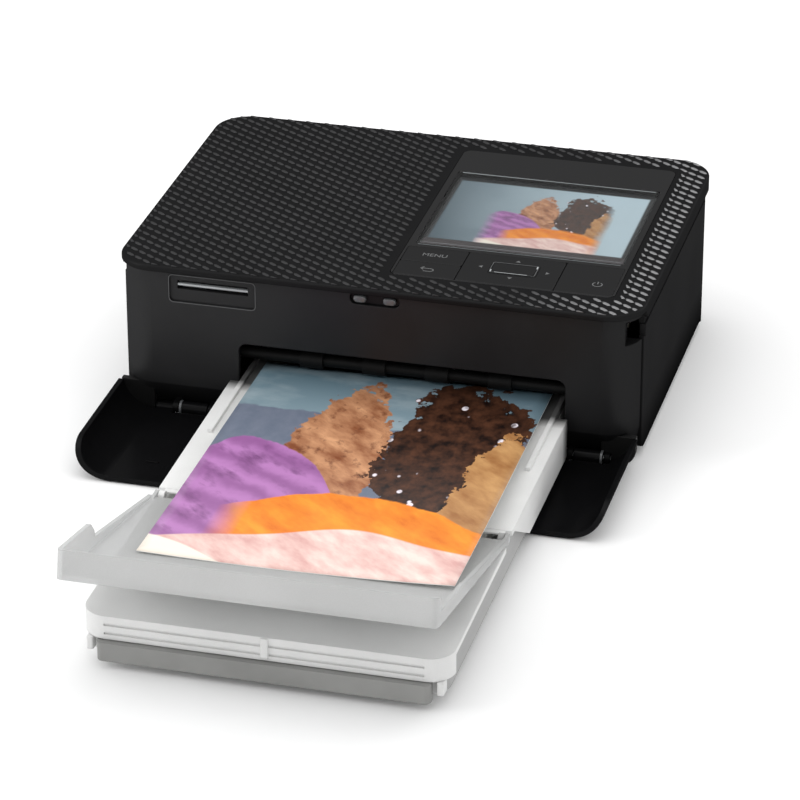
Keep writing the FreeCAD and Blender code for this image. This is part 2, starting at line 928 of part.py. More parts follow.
def key_board():
    board = box(left_edge(), right_edge(), key_row_front, key_row_back + 2 * post_size,
                key_board_top - board_thickness, key_board_top)
    parts = [board]
    for x, y in [menu_stem(), back_stem(), centre_stem(), power_stem()] + pad_stems():
        parts.append(cylinder_z(key_board_top, dome_top, x, y, dome_radius))
    return fuse(parts)


def chassis():
    base = floor_top
    back_top = chassis_high_top
    left = box(chassis_left - chassis_sheet, chassis_left, chassis_front, chassis_back,
               base, back_top)
    right = box(chassis_right, chassis_right + chassis_sheet, chassis_front, chassis_back,
                base, back_top)
    cross = box(chassis_left, chassis_right, chassis_back - chassis_sheet, chassis_back,
                cross_low, cross_high)
    lower = box(chassis_left - chassis_sheet, chassis_right + chassis_sheet,
                chassis_front, chassis_step_y, chassis_low_top, body_height)
    bay = box(chassis_right - overrun, chassis_right + 2 * chassis_sheet,
              supply_y - tube_radius - seam, take_up_y + take_up_tube_radius + seam,
              spool_z - tube_radius - seam, body_height)
    low_front = box(chassis_left - chassis_sheet, chassis_right + chassis_sheet,
                    0, fascia_end + seam, 0, undercut_top + seam)
    solid = fuse([left, right, cross]).cut([lower, bay, low_front])
    for y, z in ((platen_y, platen_z), (capstan_y, capstan_z), (pick_y, pick_z),
                 (discharge_y, discharge_z), (capstan_y, pinch_z)):
        solid = solid.cut(cylinder_x(chassis_left - overrun, chassis_right + overrun, y, z,
                                     shaft_radius + run_gap))
    solid = solid.cut(cylinder_x(chassis_left - overrun, chassis_right + overrun,
                                 head_pivot_y, head_pivot_z, shaft_radius + run_gap))
    for y in (supply_y, take_up_y):
        solid = solid.cut(cylinder_x(chassis_left - overrun, chassis_left + overrun, y,
                                     spool_z, shaft_radius + run_gap))
    for y, z in idler_places():
        solid = solid.cut(cylinder_x(chassis_left - overrun, chassis_left + overrun, y, z,
                                     shaft_radius + run_gap))
    solid = solid.cut(cylinder_x(chassis_right - overrun, chassis_right + overrun, lever_y,
                                 lever_z, lever_pin + run_gap))
    return solid.removeSplitter()


def idler_places():
    return [((platen_y + capstan_y) / 2, (platen_z + capstan_z) / 2),
            ((platen_y + pick_y) / 2, (platen_z + pick_z) / 2)]


def pinion_place():
    """Where the pinion meshes with both the capstan gear and the take-up gear."""
    dy = take_up_y - capstan_y
    dz = spool_z - capstan_z
    span = math.hypot(dy, dz)
    along = (span ** 2 + pair_mixed ** 2 - pair_small ** 2) / (2 * span)
    rise = math.sqrt(pair_mixed ** 2 - along ** 2)
    return (capstan_y + (along * dy + rise * dz) / span,
            capstan_z + (along * dz - rise * dy) / span)


def gear(teeth, y, z, phase, bore):
    """A spur gear with straight-sided teeth, its first tooth at the angle phase."""
    pitch_radius = gear_module * teeth / 2
    tip = pitch_radius + gear_module * gear_outer
    root = pitch_radius - gear_module * gear_root
    step = 2 * math.pi / teeth
    points = []
    for i in range(teeth):
        middle = phase + i * step
        for radius, share in ((root, -tooth_root_share), (tip, -tooth_tip_share),
                              (tip, tooth_tip_share), (root, tooth_root_share)):
            angle = middle + share * step / 2
            points.append((y + radius * math.cos(angle), z + radius * math.sin(angle)))
    solid = polygon_prism(points, gear_left, gear_right)
    return solid.cut(cylinder_x(gear_left - overrun, gear_right + overrun, y, z, bore))


def mesh_phase(driver, driver_phase, driver_teeth, driven, driven_teeth):
    """The phase that puts a gap of the driven gear at the driver's tooth."""
    towards = math.atan2(driven[1] - driver[1], driven[0] - driver[0])
    driver_step = 2 * math.pi / driver_teeth
    driven_step = 2 * math.pi / driven_teeth
    offset = (towards - driver_phase) / driver_step
    offset = offset - math.floor(offset)
    return towards + math.pi + (offset + tooth_middle) * driven_step


def gear_train():
    """The phase of every gear, worked out in mesh order from the platen gear."""
    platen = (platen_y, platen_z)
    capstan = (capstan_y, capstan_z)
    pick = (pick_y, pick_z)
    discharge = (discharge_y, discharge_z)
    idler_a, idler_b = idler_places()
    pinion = pinion_place()
    take_up = (take_up_y, spool_z)
    phases = {"platen": 0}
    phases["idler_a"] = mesh_phase(platen, phases["platen"], large_teeth, idler_a, large_teeth)
    phases["capstan"] = mesh_phase(idler_a, phases["idler_a"], large_teeth, capstan,
                                   large_teeth)
    phases["idler_b"] = mesh_phase(platen, phases["platen"], large_teeth, idler_b, large_teeth)
    phases["pick"] = mesh_phase(idler_b, phases["idler_b"], large_teeth, pick, large_teeth)
    phases["discharge"] = mesh_phase(pick, phases["pick"], large_teeth, discharge, small_teeth)
    phases["pinion"] = mesh_phase(capstan, phases["capstan"], large_teeth, pinion, small_teeth)
    phases["take_up"] = mesh_phase(pinion, phases["pinion"], small_teeth, take_up,
                                   take_up_teeth)
    return phases


def shaft_gear(name, teeth, y, z):
    return gear(teeth, y, z, gear_train()[name], shaft_radius + fit_gap)


def roller(y, z, radius, left, right):
    shaft = cylinder_x(gear_left, chassis_right + chassis_sheet + panel_gap, y, z,
                       shaft_radius)
    return fuse([shaft, cylinder_x(left, right, y, z, radius)])


def platen_roller():
    return roller(platen_y, platen_z, platen_radius, roller_left, roller_right)


def capstan_roller():
    return roller(capstan_y, capstan_z, capstan_radius, roller_left, roller_right)


def pinch_roller():
    shaft = cylinder_x(chassis_left - chassis_sheet, chassis_right + chassis_sheet,
                       capstan_y, pinch_z, shaft_radius)
    return fuse([shaft, cylinder_x(roller_left, roller_right, capstan_y, pinch_z,
                                   pinch_radius)])


def pick_up_roller():
    return roller(pick_y, pick_z, pick_radius, cassette_centre - tyre_half,
                  cassette_centre + tyre_half)


def discharge_roller():
    shaft = cylinder_x(gear_left, chassis_right + chassis_sheet + panel_gap, discharge_y,
                       discharge_z, shaft_radius)
    parts = [shaft]
    for share in discharge_shares:
        x = cassette_centre + share * cassette_inner_half
        parts.append(cylinder_x(x - discharge_ring / 2, x + discharge_ring / 2, discharge_y,
                                discharge_z, discharge_radius))
    return fuse(parts)


def idler_gear(name, place):
    y, z = place
    wheel = gear(large_teeth, y, z, gear_train()[name], shaft_radius - fit_gap)
    shaft = cylinder_x(gear_left, chassis_left, y, z, shaft_radius)
    return fuse([wheel, shaft])


def platen_gear():
    return shaft_gear("platen", large_teeth, platen_y, platen_z)


def capstan_gear():
    return shaft_gear("capstan", large_teeth, capstan_y, capstan_z)


def pick_up_gear():
    return shaft_gear("pick", large_teeth, pick_y, pick_z)


def discharge_gear():
    return shaft_gear("discharge", small_teeth, discharge_y, discharge_z)


def platen_idler_gear():
    return idler_gear("idler_a", idler_places()[0])


def pick_up_idler_gear():
    return idler_gear("idler_b", idler_places()[1])


def take_up_gear():
    wheel = gear(take_up_teeth, take_up_y, spool_z, gear_train()["take_up"],
                 shaft_radius - fit_gap)
    shaft = cylinder_x(gear_left, chassis_left + seam, take_up_y, spool_z, shaft_radius)
    return fuse([wheel, shaft])


def motor_pinion():
    y, z = pinion_place()
    wheel = gear(small_teeth, y, z, gear_train()["pinion"], motor_shaft - fit_gap)
    shaft = cylinder_x(motor_right() - motor_length / 2, gear_right, y, z, motor_shaft)
    return fuse([wheel, shaft])


def motor_right():
    return gear_left - gear_side_gap


def feed_motor():
    y, z = pinion_place()
    right = motor_right()
    reach = motor_radius + standoff_radius + seam
    parts = [cylinder_x(right - motor_length, right, y, z, motor_radius)]
    parts.append(box(right - motor_flange, right, y, y + reach, z - standoff_radius,
                     z + standoff_radius))
    parts.append(box(right - motor_flange, right, y - standoff_radius, y + standoff_radius,
                     z, z + reach))
    for dy, dz in ((reach, 0), (0, reach)):
        parts.append(cylinder_x(right - motor_flange, chassis_left - chassis_sheet, y + dy,
                                z + dz, standoff_radius))
    bore = cylinder_x(right - motor_length / 2 - panel_gap, right + motor_flange, y, z,
                      motor_shaft + run_gap)
    return fuse(parts).cut(bore)


def paper_guide():
    low = guide_top - guide_thickness
    plate = box(roller_left - guide_side, roller_right + guide_side, guide_front,
                guide_back, low, guide_top)
    tabs = box(chassis_left, chassis_right, platen_y + platen_radius + 2 * wall,
               platen_y + platen_radius + 8 * wall, low, guide_top)
    solid = plate.fuse(tabs)
    for y, radius in ((platen_y, platen_radius), (capstan_y, capstan_radius)):
        reach = radius + window_margin
        solid = solid.cut(box(roller_left - window_margin, roller_right + window_margin,
                              y - reach, y + reach, 0, body_height))
    return solid.removeSplitter()


def tube(y, radius):
    outer = cylinder_x(chassis_left + seam, cartridge_right(), y, spool_z, radius)
    inner = cylinder_x(chassis_left + seam + cartridge_end, cartridge_right() - cartridge_end,
                       y, spool_z, radius - tube_wall)
    return outer.cut(inner)


def cartridge_right():
    return chassis_right - wall


def ribbon_cartridge():
    left = chassis_left + seam
    supply = tube(supply_y, tube_radius)
    take_up = tube(take_up_y, take_up_tube_radius)
    left_bridge = box(left, left + cartridge_end, supply_y, take_up_y,
                      spool_z - take_up_tube_radius / 2, spool_z + take_up_tube_radius / 2)
    right_bridge = box(cartridge_right() - cartridge_end, cartridge_grip,
                       supply_y - tube_radius / 2, take_up_y + take_up_tube_radius / 2,
                       spool_z - take_up_tube_radius / 2, spool_z + take_up_tube_radius / 2)
    solid = fuse([supply, take_up, left_bridge, right_bridge])
    exits = (box(left + cartridge_end, cartridge_right() - cartridge_end, supply_y,
                 supply_y + film_exit, 0, spool_z - tube_radius / 2),
             box(left + cartridge_end, cartridge_right() - cartridge_end,
                 take_up_y - film_exit, take_up_y, 0, spool_z - tube_radius / 2))
    solid = solid.cut(list(exits))
    for y in (supply_y, take_up_y):
        solid = solid.cut(cylinder_x(left - overrun, cartridge_right() - cartridge_end / 2, y,
                                     spool_z, journal_radius + run_gap))
    grip = cylinder_x(cartridge_grip - cartridge_end, cartridge_grip + overrun,
                      centre_of(supply_y, take_up_y), spool_z, take_up_tube_radius / 3)
    return solid.cut(grip).removeSplitter()


def spool(y, winding):
    left = chassis_left + seam + panel_gap
    right = cartridge_right() - cartridge_end / 2 - panel_gap
    core_left = chassis_left + seam + cartridge_end + seam
    core_right = cartridge_right() - cartridge_end - seam
    journal = cylinder_x(left, right, y, spool_z, journal_radius)
    core = cylinder_x(core_left, core_right, y, spool_z, spool_core)
    film = cylinder_x(core_left + winding_end, core_right - winding_end, y, spool_z, winding)
    return fuse([journal, core, film])


def supply_spool():
    return spool(supply_y, winding_radius)


def take_up_spool():
    return spool(take_up_y, take_up_winding)


def ribbon_film():
    """The stretch of film between the two exits of the cartridge, under the head."""
    left = cassette_centre - head_half
    right = cassette_centre + head_half
    low = head_low - seam - film_thickness
    start = spool_z - tube_radius - seam
    y0 = supply_y + film_exit / 2
    y1 = take_up_y - film_exit / 2
    points = [(y0, start), (head_front, low), (head_back, low), (y1, start),
              (y1, start + film_thickness), (head_back, low + film_thickness),
              (head_front, low + film_thickness), (y0, start + film_thickness)]
    return polygon_prism(points, left, right)


def thermal_head():
    left = cassette_centre - head_half
    right = cassette_centre + head_half
    block = box(left, right, head_front, head_back, head_low + wall / 2, head_split)
    bead = box(left, right, centre_of(head_front, head_back) - wall / 2,
               centre_of(head_front, head_back) + wall / 2, head_low, head_low + wall / 2)
    return fuse([block, bead])


def head_arm():
    left = cassette_centre - head_half
    right = cassette_centre + head_half
    sink = box(left, right, sink_front, sink_back, head_split, arm_high)
    fins = []
    step = (right - left) / sink_fins
    for i in range(1, sink_fins):
        fins.append(box(left + i * step - seam, left + i * step + seam, sink_front - overrun,
                        sink_front + wall, head_split + wall, arm_low))
    plate = box(left, right, sink_front, head_pivot_y, arm_low, arm_high)
    hole = box(left + arm_side, right - arm_side, sink_back + arm_margin,
               head_pivot_y - arm_margin, arm_low - overrun, arm_high + overrun)
    boss = cylinder_x(left, right, head_pivot_y, head_pivot_z, head_boss)
    pivot = cylinder_x(chassis_left - chassis_sheet, chassis_right + chassis_sheet,
                       head_pivot_y, head_pivot_z, shaft_radius)
    return fuse([sink, plate, boss, pivot]).cut(fins + [hole])


def main_board():
    return box(board_x, board_x + main_board_thickness, main_board_front, main_board_back,
               main_board_low, main_board_high)


def dc_socket():
    x0 = board_x + main_board_thickness
    y1 = back_y - wall - panel_gap
    body = box(x0, x0 + dc_size, y1 - dc_depth, y1, dc_low, dc_low + dc_size)
    x = x0 + dc_size / 2
    z = dc_low + dc_size / 2
    bore = cylinder_y(y1 - dc_depth + wall, y1 + overrun, x, z, dc_bore)
    pin = cylinder_y(y1 - dc_depth + wall / 2, y1 - wall / 2, x, z, dc_pin)
    return fuse([body.cut(bore), pin])


def usb_socket():
    x0 = board_x + main_board_thickness
    y1 = back_y - wall - panel_gap
    body = box(x0, x0 + usb_thick, y1 - usb_depth, y1, usb_low, usb_low + usb_tall)
    bore = box(x0 + usb_wall, x0 + usb_thick - usb_wall, y1 - usb_depth + wall, y1 + overrun,
               usb_low + usb_wall, usb_low + usb_tall - usb_wall)
    tongue = box(x0 + usb_thick / 2 - usb_tongue / 2, x0 + usb_thick / 2 + usb_tongue / 2,
                 y1 - usb_depth + wall / 2, y1 - wall / 2, usb_low + 2 * wall / 2,
                 usb_low + usb_tall - 2 * wall / 2)
    return fuse([body.cut(bore), tongue])


def card_socket():
    """The socket's shell on its small board, which hangs from the top cover's posts."""
    y0 = fascia_front + wall + card_recess + seam
    board = box(card_left - card_board_margin, card_right + card_board_margin, y0,
                fascia_front + card_socket_length + card_board_margin,
                card_board_top - card_board_thickness, card_board_top)
    body = box(slot_left - card_socket_rim, slot_right + card_socket_rim, y0,
               y0 + card_socket_length - 2 * card_socket_rim, card_board_top,
               slot_high + card_socket_rim)
    cavity = box(slot_left, slot_right, y0 - overrun,
                 y0 + card_socket_length - 4 * card_socket_rim, slot_low, slot_high)
    return fuse([board, body]).cut(cavity)


def fan_housing():
    y1 = back_y - wall - panel_gap
    frame = box(fan_x - fan_size / 2, fan_x + fan_size / 2, y1 - fan_thick, y1, fan_low,
                fan_low + fan_size)
    z = fan_low + fan_size / 2
    bore = cylinder_y(y1 - fan_thick - overrun, y1 + overrun, fan_x, z, fan_bore)
    bar = box(fan_x - fan_size / 2, fan_x + fan_size / 2, y1 - fan_blade, y1, z - fan_bar / 2,
              z + fan_bar / 2)
    stub = cylinder_y(y1 - fan_thick + fan_blade, y1, fan_x, z, fan_bar / 2)
    return fuse([frame.cut(bore), bar, stub])


def fan_rotor():
    y1 = back_y - wall - panel_gap - fan_blade - seam
    y0 = back_y - wall - panel_gap - fan_thick + panel_gap
    z = fan_low + fan_size / 2
    hub = cylinder_y(y0, y1, fan_x, z, fan_hub)
    parts = [hub]
    for i in range(fan_blades):
        blade = box(fan_x + fan_hub / 2, fan_x + fan_bore - seam, y0 + fan_blade,
                    y1 - fan_blade, z - fan_blade / 2, z + fan_blade / 2)
        centre = Vec(fan_x, centre_of(y0, y1), z)
        blade.rotate(centre, Vec(1, 0, 0), fan_twist)
        blade.rotate(centre, Vec(0, 1, 0), 360 * i / fan_blades)
        parts.append(blade)
    bore = cylinder_y(y0 + fan_blade - seam, y1 + overrun, fan_x, z, fan_bar / 2 + run_gap)
    return fuse(parts).cut(bore)


def eject_lever():
    x0 = chassis_right + chassis_sheet + seam
    boss = cylinder_x(x0, x0 + lever_thick, lever_y, lever_z, lever_boss)
    arm = box(x0, x0 + lever_thick, lever_y - lever_width / 2, lever_y + lever_width / 2,
              lever_z, lever_z + lever_tall)
    grip = box(x0, x0 + 3 * lever_thick, lever_y - lever_width / 2,
               lever_y + lever_width / 2, lever_z + lever_tall - lever_width,
               lever_z + lever_tall)
    pin = cylinder_x(chassis_right, x0, lever_y, lever_z, lever_pin)
    return fuse([boss, arm, grip, pin])


def cassette_base():
    x0 = outer_left + base_inset
    x1 = outer_right - base_inset
    y0 = cassette_front + base_inset
    low = cassette_bottom
    front_part = prism(x0, x1, y0, 0, low, base_top, front_corner - base_inset)
    front_part = front_part.common(box(x0, x1, y0, shoulder, low, base_top))
    rear_part = box(inner_left, inner_right, shoulder - cassette_wall, cassette_back, low,
                    base_top)
    hollow_front = prism(x0 + cassette_wall, x1 - cassette_wall, y0 + cassette_wall,
                         cassette_wall, bay_floor, base_top + overrun,
                         front_corner - base_inset - cassette_wall)
    hollow_front = hollow_front.common(box(x0, x1, y0, shoulder - cassette_wall, low,
                                           base_top + overrun))
    hollow_rear = box(inner_left + cassette_wall, inner_right - cassette_wall,
                      shoulder - 2 * cassette_wall, cassette_back - cassette_wall,
                      bay_floor, base_top + overrun)
    lower_front = box(x0 - overrun, x1 + overrun, y0 - overrun, lid_back + lid_wall,
                      lid_low - seam, base_top + overrun)
    lower_rear = box(inner_left + cassette_wall, inner_right - cassette_wall,
                     cassette_back - cassette_wall - overrun, cassette_back + overrun,
                     base_rear_top, base_top + overrun)
    solid = fuse([front_part, rear_part]).cut([hollow_front, hollow_rear, lower_front,
                                               lower_rear])
    for left in (x0, x1 - cassette_wall):
        lug = cylinder_x(left, left + cassette_wall, cover_axis_y, cover_axis_z,
                         cover_ear_radius)
        foot = box(left, left + cassette_wall, cover_axis_y - cover_ear_radius,
                   cover_axis_y + cover_ear_radius, bay_floor, cover_axis_z)
        bore = cylinder_x(left - overrun, left + cassette_wall + overrun, cover_axis_y,
                          cover_axis_z, cover_pin_radius + fit_gap)
        solid = solid.fuse([lug, foot]).cut(bore)
    bearing = []
    for left, right in ((x0 + cassette_wall, x0 + cassette_wall + lift_margin),
                        (x1 - cassette_wall - lift_margin, x1 - cassette_wall)):
        bearing.append(box(left, right, lift_front - 2 * lift_pin_radius,
                           lift_front + 2 * lift_pin_radius, bay_floor,
                           lift_axis_z() + 2 * lift_pin_radius))
    solid = fuse([solid] + bearing)
    pin = cylinder_x(x0 + cassette_wall, x1 - cassette_wall, lift_front, lift_axis_z(),
                     lift_pin_radius + run_gap)
    return solid.cut(pin).removeSplitter()


def lift_axis_z():
    return lift_low - lift_pin_radius


def lift_plate():
    half = sheet_width / 2 - lift_margin
    plate = box(cassette_centre - half, cassette_centre + half, lift_front, stack_back
                - lift_margin, lift_low, lift_top)
    x0 = outer_left + base_inset + cassette_wall + seam
    x1 = outer_right - base_inset - cassette_wall - seam
    rod = cylinder_x(x0, x1, lift_front, lift_axis_z(), lift_pin_radius)
    web = box(cassette_centre - half, cassette_centre + half, lift_front - lift_pin_radius / 2,
              lift_front + lift_pin_radius / 2, lift_axis_z(), lift_top)
    return fuse([plate, web, rod])


def lift_spring():
    outer = cylinder_z(bay_floor, lift_low, cassette_centre, spring_y, spring_radius)
    inner = cylinder_z(bay_floor - overrun, lift_low + overrun, cassette_centre, spring_y,
                       spring_radius - spring_wall)
    return outer.cut(inner)


def paper_stack():
    half = sheet_width / 2
    return box(cassette_centre - half, cassette_centre + half, stack_front, stack_back,
               lift_top, stack_top)


def cassette_lid():
    body = prism(outer_left, outer_right, cassette_front, 0, lid_low, lid_top, front_corner)
    hollow = prism(outer_left + lid_wall, outer_right - lid_wall, cassette_front + lid_wall,
                   overrun, lid_low - overrun, lid_top - lid_wall, front_corner - lid_wall)
    keep = box(outer_left, outer_right, cassette_front, lid_back, 0, body_height)
    face = prism(outer_left, outer_right, cassette_front, 0, lid_face_low, lid_low,
                 front_corner)
    face = face.cut(prism(outer_left + lid_wall, outer_right - lid_wall,
                          cassette_front + lid_wall, overrun, lid_face_low - overrun,
                          lid_low + overrun, front_corner - lid_wall))
    face = face.common(box(outer_left, outer_right, cassette_front,
                           cassette_front + front_corner, lid_face_low, lid_low))
    solid = fuse([body.cut(hollow).common(keep), face])
    for z in (groove_low, groove_high):
        solid = solid.cut(box(outer_left + front_corner, outer_right - front_corner,
                              cassette_front - overrun, cassette_front + groove_depth, z,
                              z + groove_width))
    return solid.removeSplitter()


def cassette_front_strip():
    back = cassette_front + base_inset
    strip = prism(strip_left, strip_right, strip_front, back + strip_corner, strip_low,
                  strip_high, strip_corner)
    return strip.common(box(strip_left, strip_right, strip_front, back, strip_low,
                            strip_high))


def inner_cover():
    wide = box(outer_left, outer_right, inner_front, shoulder, inner_low, inner_top)
    narrow = box(inner_left, inner_right, shoulder, cassette_back, inner_low, inner_top)
    parts = [wide, narrow]
    for left in (inner_left, inner_right - rail_width):
        parts.append(box(left, left + rail_width, inner_front / 2, cassette_back - wall,
                         inner_top, rail_top))
    profile = [(skirt_top_y, inner_low), (skirt_bottom_y, skirt_low), (shoulder, skirt_low),
               (shoulder, inner_low)]
    for left in (outer_left, outer_right - skirt_wall):
        parts.append(polygon_prism(profile, left, left + skirt_wall))
    solid = fuse(parts)
    notch = box(cassette_centre - window_half, cassette_centre + window_half, window_front,
                cassette_back + overrun, inner_low - overrun, rail_top)
    return solid.cut(notch).removeSplitter()


def cover_profile_rim():
    """Side outline of the rim, flat before the tilt: it rises, then steps up."""
    top = cover_rise + cover_plate
    return [(cover_start, cover_rise), (cover_start, top + rim_start_height),
            (-rim_step, top + rim_end_height), (-rim_step - cover_plate, top
                                                + corner_low_height),
            (-corner_step - cover_plate, top + corner_height), (-cover_length, top
                                                               + corner_height),
            (-cover_length, cover_rise)]


def outer_cover():
    top = cover_rise + cover_plate
    tall = top + corner_height
    plate = prism(cover_left, outer_right, -cover_length, cover_corner * 2, cover_rise, top,
                  cover_corner)
    plate = plate.common(box(cover_left, outer_right, -cover_length, cover_start, 0, tall))
    wall_form = prism(cover_left, outer_right, -cover_length, cover_corner * 2, cover_rise,
                      tall, cover_corner)
    inside = prism(cover_left + cover_rim, outer_right - cover_rim, -cover_length + cover_rim,
                   cover_corner * 2 + overrun, cover_rise - overrun, tall + overrun,
                   cover_corner - cover_rim)
    outline = polygon_prism(cover_profile_rim(), cover_left - overrun, outer_right + overrun)
    lowered = box(outer_right - overrun, outer_right + overrun, -cover_length + overrun, 0,
                  top + cover_right_height, tall + overrun)
    rim = wall_form.cut(inside).common(outline).cut(lowered)
    parts = [plate, rim]
    for left in (outer_left, outer_right - skirt_wall):
        ear = cylinder_x(left, left + skirt_wall, 0, 0, cover_ear_radius)
        neck = polygon_prism([(0, -cover_ear_radius), (0, cover_ear_radius),
                              (-cover_neck, cover_rise + cover_plate),
                              (-cover_neck, cover_rise)],
                             left, left + skirt_wall)
        parts.append(ear.fuse(neck))
    solid = fuse(parts)
    solid = solid.cut(cylinder_x(outer_left - overrun, outer_right + overrun, 0, 0,
                                 cover_pin_radius + run_gap))
    solid.rotate(Vec(0, 0, 0), Vec(1, 0, 0), -cover_tilt)
    solid.translate(Vec(0, cover_axis_y, cover_axis_z))
    return solid


def outer_cover_pins():
    pins = []
    for start in (outer_left + fit_gap, outer_right - fit_gap - cover_pin_length):
        pins.append(cylinder_x(start, start + cover_pin_length, cover_axis_y, cover_axis_z,
                               cover_pin_radius))
    return Part.makeCompound(pins)


def print_sheet():
    length = print_back - print_front
    angle = math.degrees(math.atan2(print_front_z - print_back_z, length))
    sheet = box(-sheet_width / 2, sheet_width / 2,
                -math.hypot(length, print_front_z - print_back_z), 0, 0, sheet_thickness)
    sheet.rotate(Vec(0, 0, 0), Vec(1, 0, 0), -angle)
    sheet.rotate(Vec(0, 0, 0), Vec(0, 0, 1), print_skew)
    sheet.translate(Vec(cassette_centre, print_back, print_back_z))
    return sheet


nodes = {
    "base_cover": base_cover,
    "front_fascia": front_fascia,
    "top_cover": top_cover,
    "left_side_panel": left_side_panel,
    "back_cover": back_cover,
    "rubber_feet": rubber_feet,
    "case_screws": case_screws,
    "control_panel": control_panel,
    "lcd_glass": lcd_glass,
    "lcd_module": lcd_module,
    "menu_key": menu_key,
    "back_key": back_key,
    "nav_pad": nav_pad,
    "select_key": select_key,
    "power_key": power_key,
    "key_board": key_board,
    "catch_plate": catch_plate,
    "front_flap": front_flap,
    "flap_hinge_pins": flap_hinge_pins,
    "ribbon_door": ribbon_door,
    "door_hinge_pin": door_hinge_pin,
    "chassis": chassis,
    "paper_guide": paper_guide,
    "platen_roller": platen_roller,
    "platen_gear": platen_gear,
    "platen_idler_gear": platen_idler_gear,
    "capstan_roller": capstan_roller,
    "capstan_gear": capstan_gear,
    "pinch_roller": pinch_roller,
    "pick_up_idler_gear": pick_up_idler_gear,
    "pick_up_roller": pick_up_roller,
    "pick_up_gear": pick_up_gear,
    "discharge_roller": discharge_roller,
    "discharge_gear": discharge_gear,
    "feed_motor": feed_motor,
    "motor_pinion": motor_pinion,
    "take_up_gear": take_up_gear,
    "take_up_spool": take_up_spool,
    "supply_spool": supply_spool,
    "ribbon_cartridge": ribbon_cartridge,
    "ribbon_film": ribbon_film,
    "head_arm": head_arm,
    "thermal_head": thermal_head,
    "main_board": main_board,
    "dc_socket": dc_socket,
    "usb_socket": usb_socket,
    "card_socket": card_socket,
    "fan_housing": fan_housing,
    "fan_rotor": fan_rotor,
    "eject_lever": eject_lever,
    "cassette_base": cassette_base,
    "cassette_lid": cassette_lid,
    "cassette_front_strip": cassette_front_strip,
    "inner_cover": inner_cover,
    "outer_cover": outer_cover,
    "outer_cover_pins": outer_cover_pins,
    "lift_plate": lift_plate,
    "lift_spring": lift_spring,
    "paper_stack": paper_stack,
    "print_sheet": print_sheet,
}

shapes = {name: make() for name, make in nodes.items()}
whole = Part.makeCompound(list(shapes.values())).optimalBoundingBox(False, False)
origin = Vec((whole.XMin + whole.XMax) / 2, (whole.YMin + whole.YMax) / 2, whole.ZMin)
for name, shape in shapes.items():
    shape.translate(origin * -1)
    shape.exportStep(os.path.join("parts", name + ".step"))
    print(name, len(shape.Solids), round(shape.Volume, 1), shape.isValid())
print("origin", origin, "size", whole.XLength, whole.YLength, whole.ZLength)
print("axes y z", "platen", platen_y, platen_z, "capstan", capstan_y, capstan_z,
      "pick", pick_y, pick_z, "discharge", discharge_y, "pinion", pinion_place(),
      "idlers", idler_places(), "lift", lift_axis_z())
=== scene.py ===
import json
import math

import bmesh
import bpy
from mathutils import Matrix, Vector


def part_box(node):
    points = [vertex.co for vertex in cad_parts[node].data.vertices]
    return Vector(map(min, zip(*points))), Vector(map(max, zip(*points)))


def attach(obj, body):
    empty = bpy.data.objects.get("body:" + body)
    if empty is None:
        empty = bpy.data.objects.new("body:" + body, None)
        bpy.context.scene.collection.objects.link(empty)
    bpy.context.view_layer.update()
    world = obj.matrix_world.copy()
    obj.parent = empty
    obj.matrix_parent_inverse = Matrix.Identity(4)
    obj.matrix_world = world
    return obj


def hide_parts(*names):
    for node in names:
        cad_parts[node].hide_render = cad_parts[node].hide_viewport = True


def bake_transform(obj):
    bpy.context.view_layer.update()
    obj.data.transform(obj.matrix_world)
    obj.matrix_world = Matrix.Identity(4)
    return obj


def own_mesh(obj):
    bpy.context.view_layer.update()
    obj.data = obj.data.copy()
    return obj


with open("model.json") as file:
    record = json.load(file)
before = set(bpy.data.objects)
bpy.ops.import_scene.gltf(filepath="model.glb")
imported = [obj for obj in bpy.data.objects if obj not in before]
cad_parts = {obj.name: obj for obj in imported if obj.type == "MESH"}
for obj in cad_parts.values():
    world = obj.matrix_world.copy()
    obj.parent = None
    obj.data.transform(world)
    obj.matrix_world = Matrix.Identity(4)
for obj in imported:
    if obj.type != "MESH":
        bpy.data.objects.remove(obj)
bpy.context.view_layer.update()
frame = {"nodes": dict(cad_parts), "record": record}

MM = 0.001
nodes = frame["nodes"]


def span(node):
    """Lowest and highest corners of a CAD node, in metres."""
    low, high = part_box(node)
    return Vector(low), Vector(high)


# Places taken from the frame, in millimetres; y counts from the printer's front face
origin_y = span("top_cover")[0].y


def place(x, y, z):
    """A point given in millimetres from the printer's front face, in the row frame."""
    return Vector((x * MM, origin_y + y * MM, z * MM))


def limits(node):
    """Low and high corners of a CAD node in millimetres from the printer's front face."""
    low, high = span(node)
    shift = Vector((0, origin_y, 0))
    return (low - shift) / MM, (high - shift) / MM


top_low, top_high = limits("top_cover")
panel_low, panel_high = limits("control_panel")
glass_low, glass_high = limits("lcd_glass")
select_low, select_high = limits("select_key")
menu_low, menu_high = limits("menu_key")
back_low, back_high = limits("back_key")
nav_high = limits("nav_pad")[1]
power_low, power_high = limits("power_key")
catch_low, catch_high = limits("catch_plate")
lid_low = limits("cassette_lid")[0]
strip_low, strip_high = limits("cassette_front_strip")
inner_low, inner_high = limits("inner_cover")
print_low, print_high = limits("print_sheet")
spring_low, spring_high = limits("lift_spring")
dc_low, dc_high = limits("dc_socket")
usb_low, usb_high = limits("usb_socket")
back_plane = limits("back_cover")[1].y - 0.01
deck = top_high.z


# Node graph helpers


